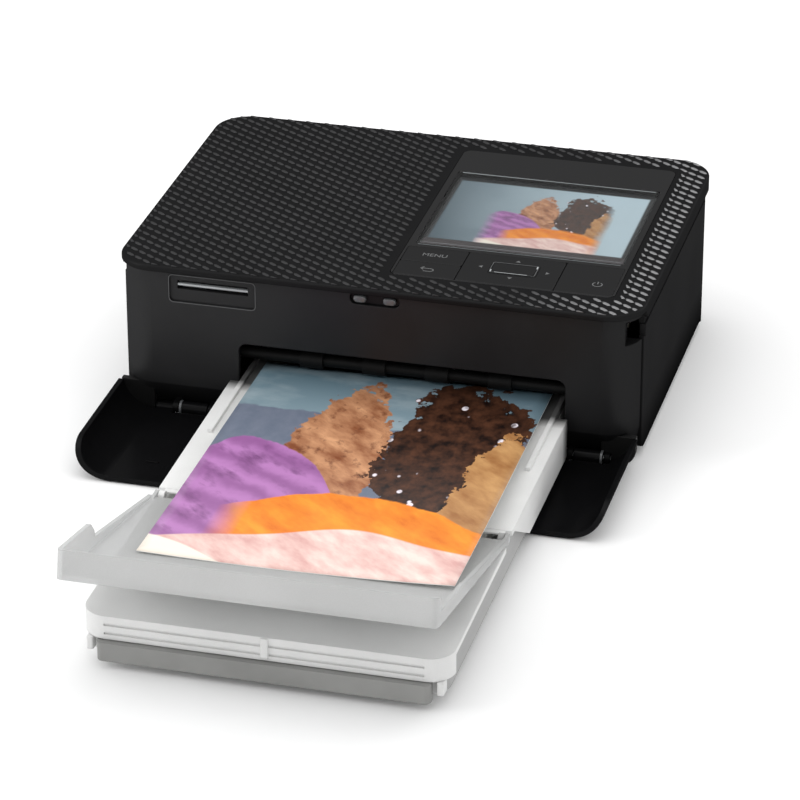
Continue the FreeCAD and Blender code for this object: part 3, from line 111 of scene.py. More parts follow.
class Value:
    """A number in a node graph that can be used in sums."""

    def __init__(self, graph, socket):
        self.graph = graph
        self.socket = socket

    def math(self, operation, *others, clamp=False):
        node = self.graph.add("ShaderNodeMath")
        node.operation = operation
        node.use_clamp = clamp
        for i, value in enumerate((self,) + others):
            self.graph.feed(node.inputs[i], value)
        return Value(self.graph, node.outputs[0])

    def __add__(self, other):
        return self.math("ADD", other)

    def __radd__(self, other):
        return self.math("ADD", other)

    def __sub__(self, other):
        return self.math("SUBTRACT", other)

    def __rsub__(self, other):
        return self.graph.constant(other).math("SUBTRACT", self)

    def __mul__(self, other):
        return self.math("MULTIPLY", other)

    def __rmul__(self, other):
        return self.math("MULTIPLY", other)

    def __truediv__(self, other):
        return self.math("DIVIDE", other)

    def sine(self):
        return self.math("SINE")

    def size(self):
        return self.math("ABSOLUTE")

    def above(self, edge, soft):
        """1 where the value is above the edge and 0 below it, with a soft step."""
        return ((self - edge) / soft + 0.5).math("MULTIPLY", 1.0, clamp=True)


class Graph:
    def __init__(self, name):
        self.material = bpy.data.materials.new(name)
        self.material.use_nodes = True
        self.tree = self.material.node_tree
        self.tree.nodes.clear()
        self.out = self.add("ShaderNodeOutputMaterial")

    def add(self, kind):
        return self.tree.nodes.new(kind)

    def feed(self, socket, value):
        if isinstance(value, Value):
            value = value.socket
        if isinstance(value, bpy.types.NodeSocket):
            self.tree.links.new(value, socket)
        else:
            socket.default_value = value

    def constant(self, number):
        node = self.add("ShaderNodeValue")
        node.outputs[0].default_value = number
        return Value(self, node.outputs[0])

    def coords(self):
        """The point in the row frame, in millimetres."""
        texture = self.add("ShaderNodeTexCoord")
        scale = self.add("ShaderNodeVectorMath")
        scale.operation = "SCALE"
        self.feed(scale.inputs[0], texture.outputs["Object"])
        scale.inputs["Scale"].default_value = 1 / MM
        return scale.outputs[0]

    def split(self, vector):
        node = self.add("ShaderNodeSeparateXYZ")
        self.feed(node.inputs[0], vector)
        return [Value(self, s) for s in node.outputs]

    def join(self, x, y, z):
        node = self.add("ShaderNodeCombineXYZ")
        for socket, value in zip(node.inputs, (x, y, z)):
            self.feed(socket, value)
        return node.outputs[0]

    def uv(self):
        node = self.add("ShaderNodeUVMap")
        node.uv_map = "flat"
        return self.split(node.outputs[0])[:2]

    def noise(self, vector, scale, detail=2.0, rough=0.5, stretch=None):
        if stretch:
            mapping = self.add("ShaderNodeMapping")
            mapping.inputs["Scale"].default_value = stretch
            self.feed(mapping.inputs[0], vector)
            vector = mapping.outputs[0]
        node = self.add("ShaderNodeTexNoise")
        self.feed(node.inputs["Vector"], vector)
        node.inputs["Scale"].default_value = scale
        node.inputs["Detail"].default_value = detail
        node.inputs["Roughness"].default_value = rough
        return Value(self, node.outputs[0])

    def spots(self, vector, scale):
        node = self.add("ShaderNodeTexVoronoi")
        self.feed(node.inputs["Vector"], vector)
        node.inputs["Scale"].default_value = scale
        return Value(self, node.outputs["Distance"])

    def mix(self, share, first, second):
        """A colour between two, by a share from 0 to 1."""
        node = self.add("ShaderNodeMix")
        node.data_type = "RGBA"
        self.feed(node.inputs["Factor"], share)
        self.feed(node.inputs[6], first)
        self.feed(node.inputs[7], second)
        return node.outputs[2]

    def scaled(self, colour, factor):
        """A colour made lighter or darker by a factor."""
        node = self.add("ShaderNodeVectorMath")
        node.operation = "SCALE"
        if isinstance(colour, tuple):
            colour = colour[:3]
        self.feed(node.inputs[0], colour)
        self.feed(node.inputs["Scale"], factor)
        return node.outputs[0]

    def spread(self, value, low, high, first, last):
        node = self.add("ShaderNodeMapRange")
        for i, number in enumerate((value, low, high, first, last)):
            self.feed(node.inputs[i], number)
        return Value(self, node.outputs[0])

    def bump(self, height, strength, distance, edge=0.0):
        node = self.add("ShaderNodeBump")
        node.inputs["Strength"].default_value = strength
        node.inputs["Distance"].default_value = distance * MM
        self.feed(node.inputs["Height"], height)
        if edge:
            bevel = self.add("ShaderNodeBevel")
            bevel.samples = 4
            bevel.inputs["Radius"].default_value = edge * MM
            self.feed(node.inputs["Normal"], bevel.outputs[0])
        return node.outputs[0]

    def principled(self, **inputs):
        node = self.add("ShaderNodeBsdfPrincipled")
        for name, value in inputs.items():
            self.feed(node.inputs[name.replace("_", " ")], value)
        return node

    def finish(self, shader):
        self.feed(self.out.inputs["Surface"], shader.outputs[0])
        return self.material


def rgb(r, g, b):
    """A colour given as screen values from 0 to 255."""
    def linear(c):
        c /= 255
        return c / 12.92 if c <= 0.04045 else ((c + 0.055) / 1.055) ** 2.4
    return (linear(r), linear(g), linear(b), 1.0)


def shade(colour, factor):
    return tuple(min(1.0, c * factor) for c in colour[:3]) + (1.0,)


def moulded(name, colour, rough, specular=0.5, grain=3.0, depth=0.02, edge=0.3, vary=0.12,
            coat=0.0):
    """Moulded plastic: fine grain, slight change of shade and gloss, soft edges, faint dust."""
    g = Graph(name)
    at = g.coords()
    fine = g.noise(at, grain, 3.0, 0.6)
    broad = g.noise(at, 0.035, 3.0, 0.55)
    dust = g.spread(g.noise(at, 0.9, 4.0, 0.7), 0.62, 0.8, 0.0, 1.0)
    tone = g.mix(g.spread(broad, 0.3, 0.7, 0.0, 1.0), shade(colour, 1 - vary),
                 shade(colour, 1 + vary))
    tone = g.mix(dust * 0.05, tone, shade(colour, 1.9))
    gloss = g.spread(broad + fine * 0.3, 0.4, 0.9, rough - 0.05, rough + 0.06)
    shader = g.principled(Base_Color=tone, Roughness=gloss,
                          Normal=g.bump(fine, 0.35, depth, edge))
    shader.inputs["Specular IOR Level"].default_value = specular
    if coat:
        shader.inputs["Coat Weight"].default_value = coat
        shader.inputs["Coat Roughness"].default_value = 0.08
    return g.finish(shader)


def satin(name, colour, reflect, rough, grain=2.4, depth=0.03, edge=0.4, vary=0.12,
          across=None, up=None):
    """Black moulded plastic with an even reflection at every angle.

    across and up are (low, high, share at low, share at high) along X and Z in millimetres:
    painted light and shade that scales the colour and the reflection between the two shares.
    """
    g = Graph(name)
    at = g.coords()
    x, _, z = g.split(at)
    # painted light and shade: a factor by place along X and Z for the colour and the reflection
    painted_light_level = g.constant(1.0)
    if across:
        painted_light_level = painted_light_level * g.spread(x, *across)
    if up:
        painted_light_level = painted_light_level * g.spread(z, *up)
    fine = g.noise(at, grain, 3.0, 0.6)
    broad = g.noise(at, 0.035, 3.0, 0.55)
    dust = g.spread(g.noise(at, 0.9, 4.0, 0.7), 0.64, 0.82, 0.0, 1.0)
    tone = g.mix(g.spread(broad, 0.3, 0.7, 0.0, 1.0), shade(colour, 1 - vary),
                 shade(colour, 1 + vary))
    tone = g.mix(dust * 0.05, tone, shade(colour, 3.0))
    normal = g.bump(fine, 0.35, depth, edge)
    base = g.add("ShaderNodeBsdfDiffuse")
    g.feed(base.inputs["Color"], g.scaled(tone, painted_light_level))
    g.feed(base.inputs["Normal"], normal)
    gloss = g.add("ShaderNodeBsdfGlossy")
    g.feed(gloss.inputs["Color"], g.scaled((reflect, reflect, reflect), painted_light_level))
    g.feed(gloss.inputs["Roughness"], g.spread(broad + fine * 0.3, 0.4, 0.9, rough - 0.04,
                                               rough + 0.06))
    g.feed(gloss.inputs["Normal"], normal)
    both = g.add("ShaderNodeAddShader")
    g.feed(both.inputs[0], base.outputs[0])
    g.feed(both.inputs[1], gloss.outputs[0])
    return g.finish(both)


def metal(name, colour, rough, brushed=(1.0, 1.0, 1.0), edge=0.15):
    g = Graph(name)
    at = g.coords()
    lines = g.noise(at, 2.2, 4.0, 0.7, stretch=brushed)
    broad = g.noise(at, 0.08, 3.0)
    tone = g.mix(g.spread(broad + lines * 0.4, 0.4, 1.0, 0.0, 1.0), shade(colour, 0.85), colour)
    gloss = g.spread(lines, 0.3, 0.7, rough - 0.07, rough + 0.1)
    shader = g.principled(Base_Color=tone, Roughness=gloss, Metallic=1.0,
                          Normal=g.bump(lines, 0.25, 0.01, edge))
    return g.finish(shader)


def rubber(name, colour):
    g = Graph(name)
    at = g.coords()
    fine = g.noise(at, 4.0, 4.0, 0.7)
    scuff = g.spread(g.noise(at, 0.5, 5.0, 0.7), 0.55, 0.75, 0.0, 1.0)
    tone = g.mix(scuff * 0.5, colour, shade(colour, 2.0))
    shader = g.principled(Base_Color=tone, Roughness=g.spread(fine, 0.3, 0.7, 0.7, 0.9),
                          Normal=g.bump(fine, 0.5, 0.03, 0.4))
    shader.inputs["Specular IOR Level"].default_value = 0.3
    return g.finish(shader)


def frosted(name, colour, clear, rough, edge=0.5, milky=0.35, depth_fade=None, across=None):
    """Frosted translucent plastic, milky in the thickness.

    depth_fade is (start, end, share) along Y in millimetres from the front face: painted
    shade makes the end that stays inside the printer darker. across is (low, high, share at
    low, share at high) along X: painted shade makes the wall on that side darker.
    """
    g = Graph(name)
    at = g.coords()
    fine = g.noise(at, 3.5, 3.0, 0.6)
    broad = g.noise(at, 0.03, 3.0, 0.5)
    tone = g.mix(g.spread(broad, 0.35, 0.65, 0.0, 1.0), shade(colour, 0.93), colour)
    # painted shade: the colour is darker by place along Y and X
    if depth_fade:
        start, end, share = depth_fade
        shift = origin_y / MM
        tone = g.scaled(tone, g.spread(g.split(at)[1], start + shift, end + shift, 1.0, share))
    if across:
        tone = g.scaled(tone, g.spread(g.split(at)[0], *across))
    normal = g.bump(fine, 0.25, 0.02, edge)
    body = g.principled(Base_Color=tone, Roughness=g.spread(broad + fine * 0.2, 0.4, 0.8,
                                                            rough - 0.05, rough + 0.06),
                        Normal=normal)
    body.inputs["Specular IOR Level"].default_value = 0.35
    glow = g.add("ShaderNodeBsdfTranslucent")
    g.feed(glow.inputs["Color"], tone)
    g.feed(glow.inputs["Normal"], normal)
    milk = g.add("ShaderNodeMixShader")
    milk.inputs[0].default_value = milky
    g.feed(milk.inputs[1], body.outputs[0])
    g.feed(milk.inputs[2], glow.outputs[0])
    open_part = g.add("ShaderNodeBsdfTransparent")
    open_part.inputs["Color"].default_value = (0.93, 0.94, 0.95, 1)
    whole = g.add("ShaderNodeMixShader")
    share = g.spread(fine, 0.2, 0.8, clear - 0.04, clear + 0.04)
    g.feed(whole.inputs[0], share)
    g.feed(whole.inputs[1], milk.outputs[0])
    g.feed(whole.inputs[2], open_part.outputs[0])
    return g.finish(whole)


def clear_glass(name):
    """Thin display glass: mostly clear, with a smooth dark reflection and faint smears."""
    g = Graph(name)
    at = g.coords()
    smear = g.noise(at, 0.12, 5.0, 0.6, stretch=(1.0, 0.3, 1.0))
    gloss = g.add("ShaderNodeBsdfGlossy")
    g.feed(gloss.inputs["Roughness"], g.spread(smear, 0.4, 0.7, 0.03, 0.09))
    clear = g.add("ShaderNodeBsdfTransparent")
    clear.inputs["Color"].default_value = (0.97, 0.98, 0.98, 1)
    whole = g.add("ShaderNodeMixShader")
    whole.inputs[0].default_value = 0.03
    g.feed(whole.inputs[1], clear.outputs[0])
    g.feed(whole.inputs[2], gloss.outputs[0])
    return g.finish(whole)


def board_finish(name, colour):
    """Circuit board: solder mask over tracks, with pads."""
    g = Graph(name)
    at = g.coords()
    _, y, z = g.split(at)
    tracks = ((y + z) * 2.2).sine() * ((y - z) * 0.9).sine()
    line = tracks.above(0.35, 0.12)
    pads = 1.0 - g.spots(at, 0.45).above(0.16, 0.05)
    tone = g.mix(line * 0.5, colour, shade(colour, 1.7))
    tone = g.mix(pads * 0.8, tone, rgb(196, 180, 120))
    height = line * 0.4 + pads
    shader = g.principled(Base_Color=tone, Roughness=g.spread(pads, 0.0, 1.0, 0.42, 0.25),
                          Normal=g.bump(height, 0.4, 0.05, 0.1))
    return g.finish(shader)


def picture(g, u, v, exact, sky=None, side=1.0):
    """A made-up landscape: sky, rocks, lavender hill, tree in blossom, poppies, pale dunes.

    With a sky of its own given, the land stands before that sky and fades out by side.
    """
    flat = g.join(u, v, 0.0)
    soft = g.noise(flat, 5.0, 4.0, 0.6)
    rough = g.noise(flat, 22.0, 4.0, 0.65)
    streak = g.noise(g.join(u * 0.6 + v * 0.9, v * 0.3 - u * 0.3, 0.3), 16.0, 4.0, 0.6)
    clouds = g.spread(g.noise(g.join(u * 0.7, v * 2.0, 0.7), 4.0, 5.0, 0.6), 0.5, 0.72, 0.0, 1.0)
    colour = g.mix(g.spread(v, 0.45, 1.0, 0.0, 1.0), rgb(160, 178, 186), rgb(96, 124, 138))
    colour = g.mix(clouds * 0.45, colour, rgb(188, 200, 205))
    far = (v * -1.0 + 0.70 + (u * 7.0 + 0.6).sine() * 0.03 + soft * 0.08).above(0.0, exact)
    colour = g.mix(far, colour, g.mix(rough, rgb(92, 104, 122), rgb(128, 134, 150)))
    if sky is not None:
        colour = sky

    def mound(cu, cv, ru, rv, wobble):
        du = (u - cu) / ru
        dv = (v - cv) / rv
        reach = (du * du + dv * dv).math("SQRT")
        return side * (1.0 + (rough - 0.5) * wobble + (soft - 0.5) * wobble * 1.5
                       - reach).above(0.0, exact * 3)

    rock_tone = g.mix(g.spread(streak, 0.3, 0.7, 0.0, 1.0), rgb(132, 74, 44), rgb(222, 166, 124))
    rock_tone = g.mix(g.spread(rough, 0.55, 0.75, 0.0, 1.0), rock_tone, rgb(96, 48, 30))
    colour = g.mix(mound(0.41, 0.50, 0.17, 0.40, 0.5), colour, rock_tone)
    tree_tone = g.mix(g.spread(rough, 0.35, 0.65, 0.0, 1.0), rgb(24, 14, 12), rgb(86, 54, 38))
    colour = g.mix(mound(0.78, 0.60, 0.24, 0.36, 1.0), colour, tree_tone)
    blossom = (1.0 - g.spots(flat, 15.0).above(0.17, 0.04)) * mound(0.78, 0.60, 0.24, 0.36, 1.0)
    colour = g.mix(blossom * soft.above(0.50, 0.05), colour, rgb(244, 236, 244))
    sand_tone = g.mix(g.spread(streak, 0.3, 0.7, 0.0, 1.0), rgb(150, 98, 54), rgb(206, 158, 104))
    colour = g.mix(mound(0.97, 0.42, 0.13, 0.30, 0.8), colour, sand_tone)
    ridge = v * -1.0 + 0.60 - (u - 0.16) * (u - 0.16) * 2.6 + (u * 19.0).sine() * 0.014
    hill = (ridge + (soft - 0.5) * 0.07).above(0.0, exact)
    rows = ((v * 60.0 + u * 26.0 + soft * 9.0).sine() * 0.5 + 0.5) * 0.55
    violet = g.mix(rows, rgb(150, 94, 152), rgb(204, 142, 206))
    violet = g.mix(g.spread(streak, 0.52, 0.72, 0.0, 1.0), violet, rgb(116, 66, 118))
    colour = g.mix(side * hill, colour, violet)
    field = (v * -1.0 + 0.24 + (u * 3.4 - 0.35).sine() * 0.13 + (soft - 0.5) * 0.05).above(
        0.0, exact)
    poppy = g.mix(g.spread(streak, 0.3, 0.7, 0.0, 1.0), rgb(222, 112, 8), rgb(252, 156, 40))
    colour = g.mix(side * field * u.above(0.2, 0.10), colour, poppy)
    dune = (v * -1.0 + 0.135 + (u * 4.2 - 1.1).sine() * 0.065 + (u * 13.0).sine() * 0.010
            ).above(0.0, exact)
    pale = g.mix(g.spread(streak, 0.32, 0.68, 0.0, 1.0), rgb(216, 166, 160), rgb(250, 224, 214))
    colour = g.mix(side * dune, colour, pale)
    shore = (v * -1.0 + 0.085 - u * 0.30 + (u * 15.0).sine() * 0.010).above(0.0, exact)
    colour = g.mix(side * shore, colour, rgb(250, 240, 226))
    return colour


def print_finish(name):
    """The picture on the sheet's printed side; faces with a UV below zero stay blank."""
    g = Graph(name)
    u, v = g.uv()
    colour = picture(g, u, v, 0.006)
    colour = g.mix(u.above(-0.5, 0.1), rgb(236, 236, 232), colour)
    sheen = g.noise(g.join(u, v, 0.0), 3.0, 3.0)
    shader = g.principled(Base_Color=colour, Roughness=g.spread(sheen, 0.3, 0.7, 0.30, 0.42),
                          Normal=g.bump(g.noise(g.join(u, v, 0.0), 60.0, 2.0), 0.08, 0.03))
    shader.inputs["Specular IOR Level"].default_value = 0.25
    return g.finish(shader)


# The lit picture on the display, in millimetres from the printer's front face
lit_left, lit_right, lit_low, lit_high = 6.6, 74.9, 48.6, 98.6
scenery_left, scenery_right = 23.0, 65.0


def display_finish(name):
    """The lit display: the same made-up landscape in the middle of a pale sky."""
    g = Graph(name)
    x, y, _ = g.split(g.coords())
    y = y - origin_y / MM
    u = (x - lit_left) / (lit_right - lit_left)
    v = (y - lit_low) / (lit_high - lit_low)
    sky = g.mix(g.spread(u + v * 0.15, 0.05, 0.95, 0.0, 1.0), rgb(74, 92, 102),
                rgb(184, 204, 214))
    cloud = g.spread(g.noise(g.join(u, v, 0.2), 2.2, 3.0), 0.4, 0.65, 0.0, 1.0)
    sky = g.mix(cloud * u * 0.6, sky, rgb(182, 200, 208))
    across = (x - scenery_left) / (scenery_right - scenery_left)
    side = 1.0 - (across - 0.5).size().above(0.47, 0.10)
    colour = picture(g, across, v / 0.92, 0.03, sky, side)
    rim = (u - 0.5).size().above(0.495, 0.010).math("MAXIMUM",
                                                    (v - 0.5).size().above(0.495, 0.014))
    under = (1.0 - y.above(lit_low, 0.3)) * y.above(lit_low - 5.0, 1.0)
    edge = g.mix(under, rgb(14, 16, 18), rgb(46, 36, 38))
    colour = g.mix(rim, colour, edge)
    normal = g.add("ShaderNodeNewGeometry")
    up = g.split(normal.outputs["Normal"])[2].above(0.5, 0.05)
    pixels = (x * 42.0).sine() * (y * 42.0).sine()
    shader = g.principled(Base_Color=g.mix(up, rgb(30, 32, 34), rgb(14, 15, 16)),
                          Roughness=g.spread(g.noise(g.coords(), 0.6), 0.3, 0.7, 0.35, 0.5),
                          Normal=g.bump(pixels, 0.1, 0.01))
    shader.inputs["Specular IOR Level"].default_value = 0.05
    g.feed(shader.inputs["Emission Color"], colour)
    g.feed(shader.inputs["Emission Strength"], up * 0.86)
    return g.finish(shader)


# Finishes, one for each of the record's material slots

finishes = {
    # lower_case: painted shade, darker towards the right corner and towards the bottom
    "lower_case": satin("lower_case", rgb(31, 31, 32), 0.018, 0.38, edge=0.5,
                        across=(45.0, 90.0, 1.0, 0.62), up=(3.0, 17.0, 0.25, 1.0)),
    "top_shell": satin("top_shell", rgb(17, 17, 18), 0.010, 0.42, edge=0.5),
    "panel_gloss": satin("panel_gloss", rgb(14, 14, 15), 0.030, 0.12, grain=0.6, depth=0.002,
                         edge=0.25, vary=0.05),
    "key_gloss": satin("key_gloss", rgb(14, 14, 15), 0.024, 0.14, grain=0.6, depth=0.002,
                       edge=0.3, vary=0.05),
    "display_glass": clear_glass("display_glass"),
    "display": display_finish("display"),
    "circuit_board": board_finish("circuit_board", rgb(20, 74, 48)),
    "rubber": rubber("rubber", rgb(26, 26, 27)),
    "steel": metal("steel", (0.56, 0.57, 0.58, 1), 0.28, (0.3, 6.0, 6.0)),
    "dark_plastic": satin("dark_plastic", rgb(24, 24, 25), 0.012, 0.4, grain=3.0, edge=0.2),
    "gear_plastic": moulded("gear_plastic", rgb(214, 210, 198), 0.38, 0.4, grain=2.0, edge=0.1),
    "brass": metal("brass", (0.72, 0.53, 0.24, 1), 0.26),
    "film": moulded("film", rgb(58, 24, 66), 0.2, 0.5, grain=0.8, depth=0.01, edge=0.0),
    "aluminium": metal("aluminium", (0.78, 0.79, 0.8, 1), 0.32, (6.0, 0.4, 6.0)),
    "ceramic": moulded("ceramic", rgb(226, 222, 212), 0.3, 0.5, grain=1.5, edge=0.1),
    # cassette_clear: painted shade, the wall on the right side darker
    "cassette_clear": frosted("cassette_clear", rgb(252, 252, 251), 0.08, 0.42, milky=0.15,
                              across=(50.0, 68.0, 1.0, 0.42)),
    # inner_clear: painted shade, the end inside the printer's mouth darker
    "inner_clear": frosted("inner_clear", rgb(250, 250, 249), 0.10, 0.42, milky=0.2,
                           depth_fade=(-9.0, -3.0, 0.10)),
    "cover_clear": frosted("cover_clear", rgb(214, 214, 213), 0.34, 0.42),
    "lid_clear": frosted("lid_clear", rgb(232, 232, 231), 0.03, 0.42, milky=0.10),
    "strip_grey": moulded("strip_grey", rgb(136, 136, 134), 0.45, 0.35, grain=2.4, edge=0.5),
    "blank_paper": moulded("blank_paper", rgb(240, 240, 236), 0.5, 0.3, grain=1.4, depth=0.01,
                           edge=0.0, vary=0.02),
    "print": print_finish("print"),
    "flap_gloss": satin("flap_gloss", rgb(14, 14, 15), 0.006, 0.22, grain=1.6, depth=0.01,
                        edge=0.6),
    "icon_grey": moulded("icon_grey", rgb(88, 89, 90), 0.4, 0.3, grain=4.0, edge=0.0),
    "line_grey": moulded("line_grey", rgb(128, 134, 136), 0.4, 0.3, grain=4.0, edge=0.0),
    # lozenge: painted sheen, colour and reflection up to five times lighter towards the right
    "lozenge": satin("lozenge", rgb(41, 41, 42), 0.026, 0.30, grain=2.6, depth=0.02, edge=0.0,
                     across=(48.0, 80.0, 1.05, 5.0)),
    "nub": satin("nub", rgb(88, 90, 92), 0.05, 0.25, grain=3.0, depth=0.01, edge=0.3),
    # painted highlight: pale line round the card recess
    "painted_edge_highlight": satin("painted_edge_highlight", rgb(74, 75, 76), 0.03, 0.3, grain=3.0, depth=0.01,
                       edge=0.0),
    # near black: ink of the rating lines and the discharge roller, and painted shade on the
    # corner skirts
    "near_black_and_painted_shade": moulded("near_black_and_painted_shade", rgb(8, 8, 8), 0.6, 0.2, grain=2.0, edge=0.0),
    "glint": moulded("glint", rgb(168, 172, 174), 0.3, 0.5, grain=3.0, edge=0.0),
}
own_finish = {"front_flap": "flap_gloss", "inner_cover": "inner_clear",
              "outer_cover": "cover_clear", "cassette_lid": "lid_clear",
              "discharge_roller": "near_black_and_painted_shade"}
for part in frame["record"]["subparts"]:
    thing = nodes[part["node"]]
    slot = own_finish.get(part["node"], part["material_slot"])
    thing.data.materials.clear()
    thing.data.materials.append(finishes[slot])


# Pieces: makers shared by all of them


def piece(name, mesh, finish, body, stands_for=()):
    """A dressed piece with its finish and slot, which rides on a body and may stand for nodes."""
    thing = bpy.data.objects.new(name, mesh)
    bpy.context.scene.collection.objects.link(thing)
    mesh.materials.append(finishes[finish])
    if body:
        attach(thing, body)
    if stands_for:
        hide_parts(*stands_for)
    return thing


def mesh_of(build, smooth=False):
    """A mesh from a function that fills a bmesh; it works in row-frame metres."""
    bm = bmesh.new()
    build(bm)
    bmesh.ops.recalc_face_normals(bm, faces=bm.faces)
    mesh = bpy.data.meshes.new("mesh")
    bm.to_mesh(mesh)
    bm.free()
    if smooth:
        for polygon in mesh.polygons:
            polygon.use_smooth = True
    return mesh


def rounded_outline(x0, x1, y0, y1, radius, steps=6):
    points = []
    for cx, cy, start in ((x1 - radius, y0 + radius, -90), (x1 - radius, y1 - radius, 0),
                          (x0 + radius, y1 - radius, 90), (x0 + radius, y0 + radius, 180)):
        for i in range(steps + 1):
            angle = math.radians(start + 90 * i / steps)
            points.append((cx + radius * math.cos(angle), cy + radius * math.sin(angle)))
    return points


def slab(bm, outline, z0, z1, bevel=0.0, matrix=None):
    """A plate of the outline from z0 to z1, its top edge drawn in by the bevel."""
    rings = [(z0, 0.0)]
    if bevel:
        rings += [(z1 - bevel, 0.0), (z1 - 0.3 * bevel, 0.3 * bevel), (z1, bevel)]
    else:
        rings.append((z1, 0.0))
    cx = sum(p[0] for p in outline) / len(outline)
    cy = sum(p[1] for p in outline) / len(outline)
    layers = []
    for z, inset in rings:
        layer = []
        for x, y in outline:
            reach = max(math.hypot(x - cx, y - cy), 1e-6)
            share = max(0.0, 1 - inset / reach)
            point = place(cx + (x - cx) * share, cy + (y - cy) * share, z)
            if matrix:
                point = matrix @ point
            layer.append(bm.verts.new(point))
        layers.append(layer)
    count = len(outline)
    for low, high in zip(layers, layers[1:]):
        for i in range(count):
            j = (i + 1) % count
            bm.faces.new((low[i], low[j], high[j], high[i]))
    bm.faces.new(layers[-1])
    bm.faces.new(list(reversed(layers[0])))


def inside_rounded(x, y, x0, x1, y0, y1, radius):
    if not (x0 <= x <= x1 and y0 <= y <= y1):
        return False
    dx = max(x0 + radius - x, x - x1 + radius, 0)
    dy = max(y0 + radius - y, y - y1 + radius, 0)
    return math.hypot(dx, dy) <= radius


# The top cover's texture; half lengths, and each crown as a share of its foot

column_pitch = 3.5
row_pitch = 4.3
lozenge_long = 2.0
lozenge_short = 0.74
lozenge_rise = 0.255
crown_long = 0.86
crown_short = 0.6
crown_tilt = 0.04
foot_depth = 0.05
six_corners = ((1, 0), (0.5, 0.85), (-0.5, 1), (-1, 0), (-0.5, -0.85), (0.5, -1))
rim_inset = 0.9
rim_radius = 12.1
panel_inset = 0.25


def held_inside(x, y):
    """Moves a point that lies past the crown's rounded rim back onto it."""
    x0, x1 = top_low.x + rim_inset, top_high.x - rim_inset
    y0, y1 = top_low.y + rim_inset, top_high.y - rim_inset
    x = min(max(x, x0), x1)
    y = min(max(y, y0), y1)
    cx = min(max(x, x0 + rim_radius), x1 - rim_radius)
    cy = min(max(y, y0 + rim_radius), y1 - rim_radius)
    reach = math.hypot(x - cx, y - cy)
    if reach > rim_radius:
        x = cx + (x - cx) * rim_radius / reach
        y = cy + (y - cy) * rim_radius / reach
    return x, y


def held_off_panel(x, y):
    """Moves a point that lies over the panel to the panel's nearest side."""
    gaps = ((x - panel_low.x + panel_inset, -1, 0), (panel_high.x + panel_inset - x, 1, 0),
            (y - panel_low.y + panel_inset, 0, -1), (panel_high.y + panel_inset - y, 0, 1))
    depth, sx, sy = min(gaps)
    if depth > 0:
        x += sx * depth
        y += sy * depth
    return x, y


def over_panel(x, y):
    return (panel_low.x < x < panel_high.x) and (panel_low.y < y < panel_high.y)


def lozenges(bm):
    """Raised lozenges in staggered columns over the whole top outside the panel."""
    axis = Vector((column_pitch, -row_pitch / 2, 0)).normalized()
    side = Vector((-axis.y, axis.x, 0))
    columns = int((top_high.x - top_low.x) / column_pitch) + 2
    rows = int((top_high.y - top_low.y) / row_pitch) + 2
    for i in range(columns):
        for j in range(rows):
            x = top_low.x + (i + 0.3) * column_pitch
            y = top_low.y + (j + 0.5 * (i % 2)) * row_pitch + 0.6
            if not inside_rounded(x, y, top_low.x + 0.5, top_high.x - 0.5, top_low.y + 0.5,
                                  top_high.y - 0.5, 12.5) or over_panel(x, y):
                continue
            ring = []
            crown = []
            for along, across in six_corners:
                top = deck + lozenge_rise - crown_tilt * along
                for points, share_long, share_short, z in (
                        (ring, 1.0, 1.0, deck - foot_depth),
                        (crown, crown_long, crown_short, top)):
                    offset = (axis * along * lozenge_long * share_long
                              + side * across * lozenge_short * share_short)
                    at = held_off_panel(*held_inside(x + offset.x, y + offset.y))
                    points.append(bm.verts.new(place(at[0], at[1], z)))
            for k in range(len(six_corners)):
                m = (k + 1) % len(six_corners)
                bm.faces.new((ring[k], ring[m], crown[m], crown[k]))
            bm.faces.new(crown)


piece("top_lozenges", mesh_of(lozenges), "lozenge", "printer")


def facing_front(x, y, z):
    """Turns a flat outline to stand upright on the front face at the given point."""
    return (Matrix.Translation(place(x, y, z)) @ Matrix.Rotation(math.radians(90), 4, "X")
            @ Matrix.Translation(-place(0, 0, 0)))


def catch_nubs(bm):
    z = (catch_low.z + catch_high.z) / 2
    for x in (catch_low.x + 3.3, catch_high.x - 3.3):
        slab(bm, rounded_outline(-2.2, 2.2, -1.25, 1.25, 1.2), -0.3, 1.0, 0.5,
             facing_front(x, catch_low.y, z))


piece("catch_nubs", mesh_of(catch_nubs, True), "nub", "printer")
card_left, card_right, card_low, card_high = -71.8, -41.0, 43.8, 54.2
fascia_y = 2.1


def card_rim_highlight(bm):
    """A raised pale line round the card recess, a painted highlight of its rounded rim; the lip
    of the socket in the slot is built by card_lip.
    """
    outline = rounded_outline(card_left, card_right, card_low, card_high, 1.6, 4)
    inner = rounded_outline(card_left + 0.28, card_right - 0.28, card_low + 0.28,
                            card_high - 0.28, 1.4, 4)
    turn = facing_front(0, fascia_y, 0)
    front = [bm.verts.new(turn @ place(x, y, 0.08)) for x, y in outline]
    back = [bm.verts.new(turn @ place(x, y, 0.08)) for x, y in inner]
    foot = [bm.verts.new(turn @ place(x, y, -0.2)) for x, y in outline]
    heel = [bm.verts.new(turn @ place(x, y, -0.2)) for x, y in inner]
    for i in range(len(outline)):
        j = (i + 1) % len(outline)
        bm.faces.new((front[i], front[j], back[j], back[i]))
        bm.faces.new((foot[i], foot[j], front[j], front[i]))
        bm.faces.new((back[i], back[j], heel[j], heel[i]))


def card_lip(bm):
    slab(bm, rounded_outline(card_left + 3.0, card_right - 2.9, 50.0, 50.7, 0.2, 2), -2.2, -0.9,
         0.1, facing_front(0, fascia_y, 0))


piece("card_rim_highlight", mesh_of(card_rim_highlight), "painted_edge_highlight", "printer")
piece("card_lip", mesh_of(card_lip), "glint", "printer")


